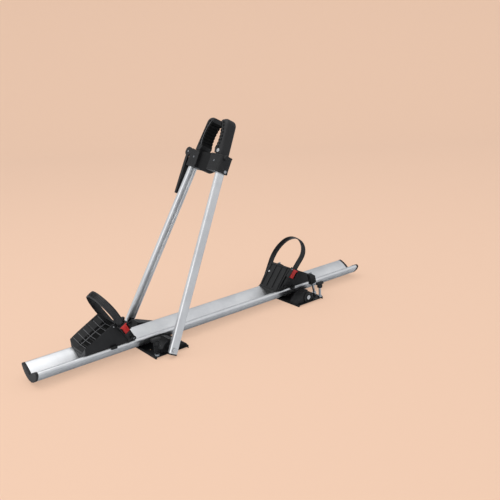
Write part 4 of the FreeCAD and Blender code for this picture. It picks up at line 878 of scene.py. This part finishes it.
def jaw_slots(side, count, radius):
    """A row of dark slots along a jaw's inner edge."""
    parts = []
    for index in range(count):
        slot = block(1.6 * MM, 5.0 * MM, 7.2 * MM, 0.6 * MM)
        degrees = SLOT_START + index * SLOT_SPAN / (count - 1)
        parts.append(moved(slot, on_mouth(side, degrees, radius, JAW_FACE + 0.1)))
    return joined(parts)


def jaw_rim():
    """A slim rim along the front edge of the far jaw's mouth."""
    quarter = Matrix.Rotation(math.pi / 2, 4, "X")
    places = []
    for step in range(RIM_STEPS + 1):
        degrees = RIM_START + step * RIM_SPAN / RIM_STEPS
        places.append(on_mouth(1, degrees, RIM_RADIUS, JAW_FACE) @ quarter)
    return swept(bar_section(1.0, -0.7, 0.7, 0.3), places)


class CARRIER_PG_head(bpy.types.PropertyGroup):
    collar_ribs: bpy.props.IntProperty(
        name="Collar ribs",
        description="Number of fine ribs round each collar",
        default=12,
        min=1,
    )
    slot_radius: bpy.props.FloatProperty(
        name="Slot radius",
        description="Radius about the mouth's centre that the slots follow, in millimetres",
        default=108.5,
        min=103.0,
    )
    grip_slots: bpy.props.IntProperty(
        name="Grip slots",
        description="Number of dark slots along each jaw's inner edge",
        default=8,
        min=2,
    )


class CARRIER_OT_head(bpy.types.Operator):
    """Make the ribs of the collars and the slots and the rim of the jaws"""

    bl_idname = "carrier.head"
    bl_label = "Clamping head"

    def execute(self, context):
        sizes = context.scene.carrier_head
        plane = frame_plane()
        for word, side in SIDES:
            ribs = moved(collar_ribs(side, sizes.collar_ribs), plane)
            finish_piece(f"collar_{word}_ribs", ribs, "black_plastic", "frame")
            slots = moved(jaw_slots(side, sizes.grip_slots, sizes.slot_radius), plane)
            finish_piece(f"jaw_{word}_slots", slots, "black_rubber", f"jaw_{word}_body")
        rim = moved(jaw_rim(), plane)
        # Painted highlight: the rim takes the pale grey nylon for the light along the mouth's front
        # edge.
        finish_piece("jaw_far_rim", rim, "black_plastic", "jaw_far_body", finish="painted_highlight_plastic")
        return {"FINISHED"}


# Feet

HUB_MIDDLE = 5.6
HUB_RIBS = 10
FLANGE_TOP = -4.0
FLANGE_PITCH = 6.0


def wing_knob(flanges):
    """A flat knob with two wings over a ribbed hub; flanges sit on a sleeve down its stud."""
    hub = disc(9.0 * MM, 11.0 * MM, 0.8 * MM, top=7.6 * MM)
    parts = [moved(hub, at(0, 0, HUB_MIDDLE))]
    wing = block(31.6 * MM, 12.0 * MM, 8.6 * MM)
    upright = [e for e in wing.edges if abs(e.verts[0].co.z - e.verts[1].co.z) > 1.0 * MM]
    round_edges(wing, upright, 5.6 * MM, 6)
    rims = [e for e in wing.edges if abs(e.verts[0].co.z - e.verts[1].co.z) < 0.01 * MM]
    round_edges(wing, rims, 1.6 * MM, 3)
    parts.append(moved(wing, at(0, 0, 15.6)))
    for index in range(HUB_RIBS):
        rib = block(1.6 * MM, 1.6 * MM, 9.0 * MM, 0.4 * MM)
        turned = at(0, 0, HUB_MIDDLE, (0, 0, index * 360.0 / HUB_RIBS))
        parts.append(moved(rib, turned @ at(8.2, 0, 0)))
    if flanges:
        sleeve = disc(5.4 * MM, 29.0 * MM, 0.5 * MM)
        parts.append(moved(sleeve, at(0, 0, -14.0)))
    for index in range(flanges):
        flange = disc(8.6 * MM, 2.4 * MM, 0.7 * MM)
        parts.append(moved(flange, at(0, 0, FLANGE_TOP - index * FLANGE_PITCH)))
    return joined(parts)


class CARRIER_PG_feet(bpy.types.PropertyGroup):
    sleeve_flanges: bpy.props.IntProperty(
        name="Sleeve flanges",
        description="Number of flanges on the sleeve of each front knob",
        default=4,
        min=1,
    )


class CARRIER_OT_feet(bpy.types.Operator):
    """Make the wing knobs of both feet"""

    bl_idname = "carrier.feet"
    bl_label = "Feet"

    def execute(self, context):
        sizes = context.scene.carrier_feet
        for word in ("front", "rear"):
            for side_word, side in SIDES:
                flanges = sizes.sleeve_flanges if word == "front" else 0
                place = at(KNOB_X[word], side * KNOB_Y, KNOB_BOTTOM)
                knob = moved(wing_knob(flanges), place)
                name = f"{word}_{side_word}_wing_knob"
                body = f"{word}_{side_word}_knob"
                finish_piece(name, knob, "black_plastic", body, [f"{word}_knob_{side_word}"])
        return {"FINISHED"}


# Stage

CAMERA_AZIMUTH = math.radians(-38.9)
CAMERA_ELEVATION = math.radians(17.1)
CAMERA_ROLL = math.radians(-2.3)
CAMERA_TARGET = Vector((0.151, 0.0, 0.2035))
CAMERA_DISTANCE = 2.246
CAMERA_LENS = 49.08
SENSOR_WIDTH = 36.0
FLOOR_WIDTH = 14.0
FLOOR_DEPTH = 7.0
BEND_RADIUS = 1.6
WALL_HEIGHT = 5.0
# Place, target, width and height of each lamp
KEY = ((-0.8, 0.2, 2.8), (0.1, 0.0, 0.1), 2.6, 2.6)
FILL = ((-2.6, -2.2, 1.4), (0.1, 0.0, 0.2), 1.6, 1.6)
SKY_STRENGTH = 0.86


class CARRIER_PG_stage(bpy.types.PropertyGroup):
    backdrop_colour: bpy.props.FloatVectorProperty(
        name="Backdrop colour",
        description="Colour of the paper backdrop",
        size=3,
        subtype="COLOR",
        default=colour("#f0cbb1")[:3],
        min=0.0,
        max=1.0,
    )
    backdrop_glow: bpy.props.FloatProperty(
        name="Backdrop glow",
        description="Share of the backdrop's colour that no shadow darkens",
        default=0.6,
        min=0.0,
        max=1.0,
    )
    key_power: bpy.props.FloatProperty(
        name="Key light",
        description="Power of the large lamp over the carrier",
        default=28.0,
        unit="POWER",
    )
    fill_power: bpy.props.FloatProperty(
        name="Fill light",
        description="Power of the lamp near the camera",
        default=12.0,
        unit="POWER",
    )


def backdrop(tone, glow):
    """A floor that curves up into a wall behind the carrier."""
    bm = bmesh.new()
    bmesh.ops.create_grid(bm, x_segments=1, y_segments=1, size=0.5)
    bmesh.ops.scale(bm, vec=(FLOOR_WIDTH, FLOOR_DEPTH, 1.0), verts=bm.verts)
    back = [e for e in bm.edges if all(v.co.y > 0.0 for v in e.verts)]
    spun = bmesh.ops.spin(
        bm,
        geom=back,
        cent=(0.0, FLOOR_DEPTH / 2, BEND_RADIUS),
        axis=(1.0, 0.0, 0.0),
        angle=math.pi / 2,
        steps=24,
        use_merge=False,
    )
    edges = [g for g in spun["geom_last"] if isinstance(g, bmesh.types.BMEdge)]
    risen = bmesh.ops.extrude_edge_only(bm, edges=edges)["geom"]
    verts = [g for g in risen if isinstance(g, bmesh.types.BMVert)]
    bmesh.ops.translate(bm, vec=(0.0, 0.0, WALL_HEIGHT), verts=verts)
    bmesh.ops.recalc_face_normals(bm, faces=bm.faces)
    mesh = bpy.data.meshes.new("Backdrop")
    bm.to_mesh(mesh)
    bm.free()
    mesh.shade_smooth()
    mesh.materials.append(stage_paint("Paper backdrop", tone, glow))
    item = bpy.data.objects.new("Backdrop", mesh)
    bpy.context.scene.collection.objects.link(item)
    item.rotation_euler = (0.0, 0.0, CAMERA_AZIMUTH)
    item.location = (0.0, 0.0, cad_box[0].z)


def soft_box(name, power, place, target, width, height):
    """A rectangular lamp that looks at a target."""
    lamp = bpy.data.lights.new(name, "AREA")
    lamp.shape = "RECTANGLE"
    lamp.size = width
    lamp.size_y = height
    lamp.energy = power
    item = bpy.data.objects.new(name, lamp)
    bpy.context.scene.collection.objects.link(item)
    item.location = place
    item.rotation_euler = (Vector(target) - Vector(place)).to_track_quat("-Z", "Y").to_euler()


def make_camera():
    """The camera at the photo's viewing angle."""
    az, el, roll = CAMERA_AZIMUTH, CAMERA_ELEVATION, CAMERA_ROLL
    back = Vector((math.sin(az) * math.cos(el), -math.cos(az) * math.cos(el), math.sin(el)))
    right = Vector((math.cos(az), math.sin(az), 0.0))
    up = back.cross(right)
    across = right * math.cos(roll) + up * math.sin(roll)
    upwards = up * math.cos(roll) - right * math.sin(roll)
    data = bpy.data.cameras.new("Camera")
    data.sensor_width = SENSOR_WIDTH
    data.lens = CAMERA_LENS
    data.dof.use_dof = False
    camera = bpy.data.objects.new("Camera", data)
    bpy.context.scene.collection.objects.link(camera)
    turn = Matrix((across, upwards, back)).transposed()
    camera.matrix_world = Matrix.Translation(CAMERA_TARGET + back * CAMERA_DISTANCE) @ turn.to_4x4()
    bpy.context.scene.camera = camera


class CARRIER_OT_stage(bpy.types.Operator):
    """Make the backdrop, the lamps and the camera"""

    bl_idname = "carrier.stage"
    bl_label = "Stage"

    def execute(self, context):
        look = context.scene.carrier_stage
        backdrop(look.backdrop_colour, look.backdrop_glow)
        world = bpy.data.worlds.new("World")
        context.scene.world = world
        world.use_nodes = True
        tree = world.node_tree
        path = add(tree, "ShaderNodeLightPath")
        sky = add(
            tree,
            "ShaderNodeMixRGB",
            values={"Color1": colour("#fbfcfe"), "Color2": (*look.backdrop_colour, 1.0)},
            links={"Fac": path.outputs["Is Camera Ray"]},
        )
        tree.links.new(sky.outputs["Color"], tree.nodes["Background"].inputs["Color"])
        tree.nodes["Background"].inputs["Strength"].default_value = SKY_STRENGTH
        soft_box("Key", look.key_power, *KEY)
        soft_box("Fill", look.fill_power, *FILL)
        make_camera()
        context.scene.view_settings.view_transform = "Standard"
        return {"FINISHED"}


class CARRIER_PT_sidebar(bpy.types.Panel):
    bl_label = "Bike Carrier"
    bl_idname = "CARRIER_PT_sidebar"
    bl_space_type = "VIEW_3D"
    bl_region_type = "UI"
    bl_category = "Bike Carrier"

    def draw(self, context):
        for name in GROUPS:
            group = getattr(context.scene, name)
            for key in group.__annotations__:
                self.layout.prop(group, key)
        for operator in OPERATORS:
            self.layout.operator(operator.bl_idname)


GROUPS = {
    "carrier_strap": CARRIER_PG_strap,
    "carrier_buckle": CARRIER_PG_buckle,
    "carrier_holder": CARRIER_PG_holder,
    "carrier_head": CARRIER_PG_head,
    "carrier_feet": CARRIER_PG_feet,
    "carrier_stage": CARRIER_PG_stage,
}
OPERATORS = (
    CARRIER_OT_straps,
    CARRIER_OT_buckles,
    CARRIER_OT_holders,
    CARRIER_OT_head,
    CARRIER_OT_feet,
    CARRIER_OT_stage,
)


def register():
    for cls in (*GROUPS.values(), *OPERATORS, CARRIER_PT_sidebar):
        bpy.utils.register_class(cls)
    for name, group in GROUPS.items():
        setattr(bpy.types.Scene, name, bpy.props.PointerProperty(type=group))


def unregister():
    for name in GROUPS:
        delattr(bpy.types.Scene, name)
    for cls in (CARRIER_PT_sidebar, *reversed(OPERATORS), *GROUPS.values()):
        bpy.utils.unregister_class(cls)


def main():
    register()
    make_finishes()
    dress_nodes()
    bpy.ops.carrier.straps()
    bpy.ops.carrier.buckles()
    bpy.ops.carrier.holders()
    bpy.ops.carrier.head()
    bpy.ops.carrier.feet()
    bpy.ops.carrier.stage()


if __name__ == "__main__":
    main()
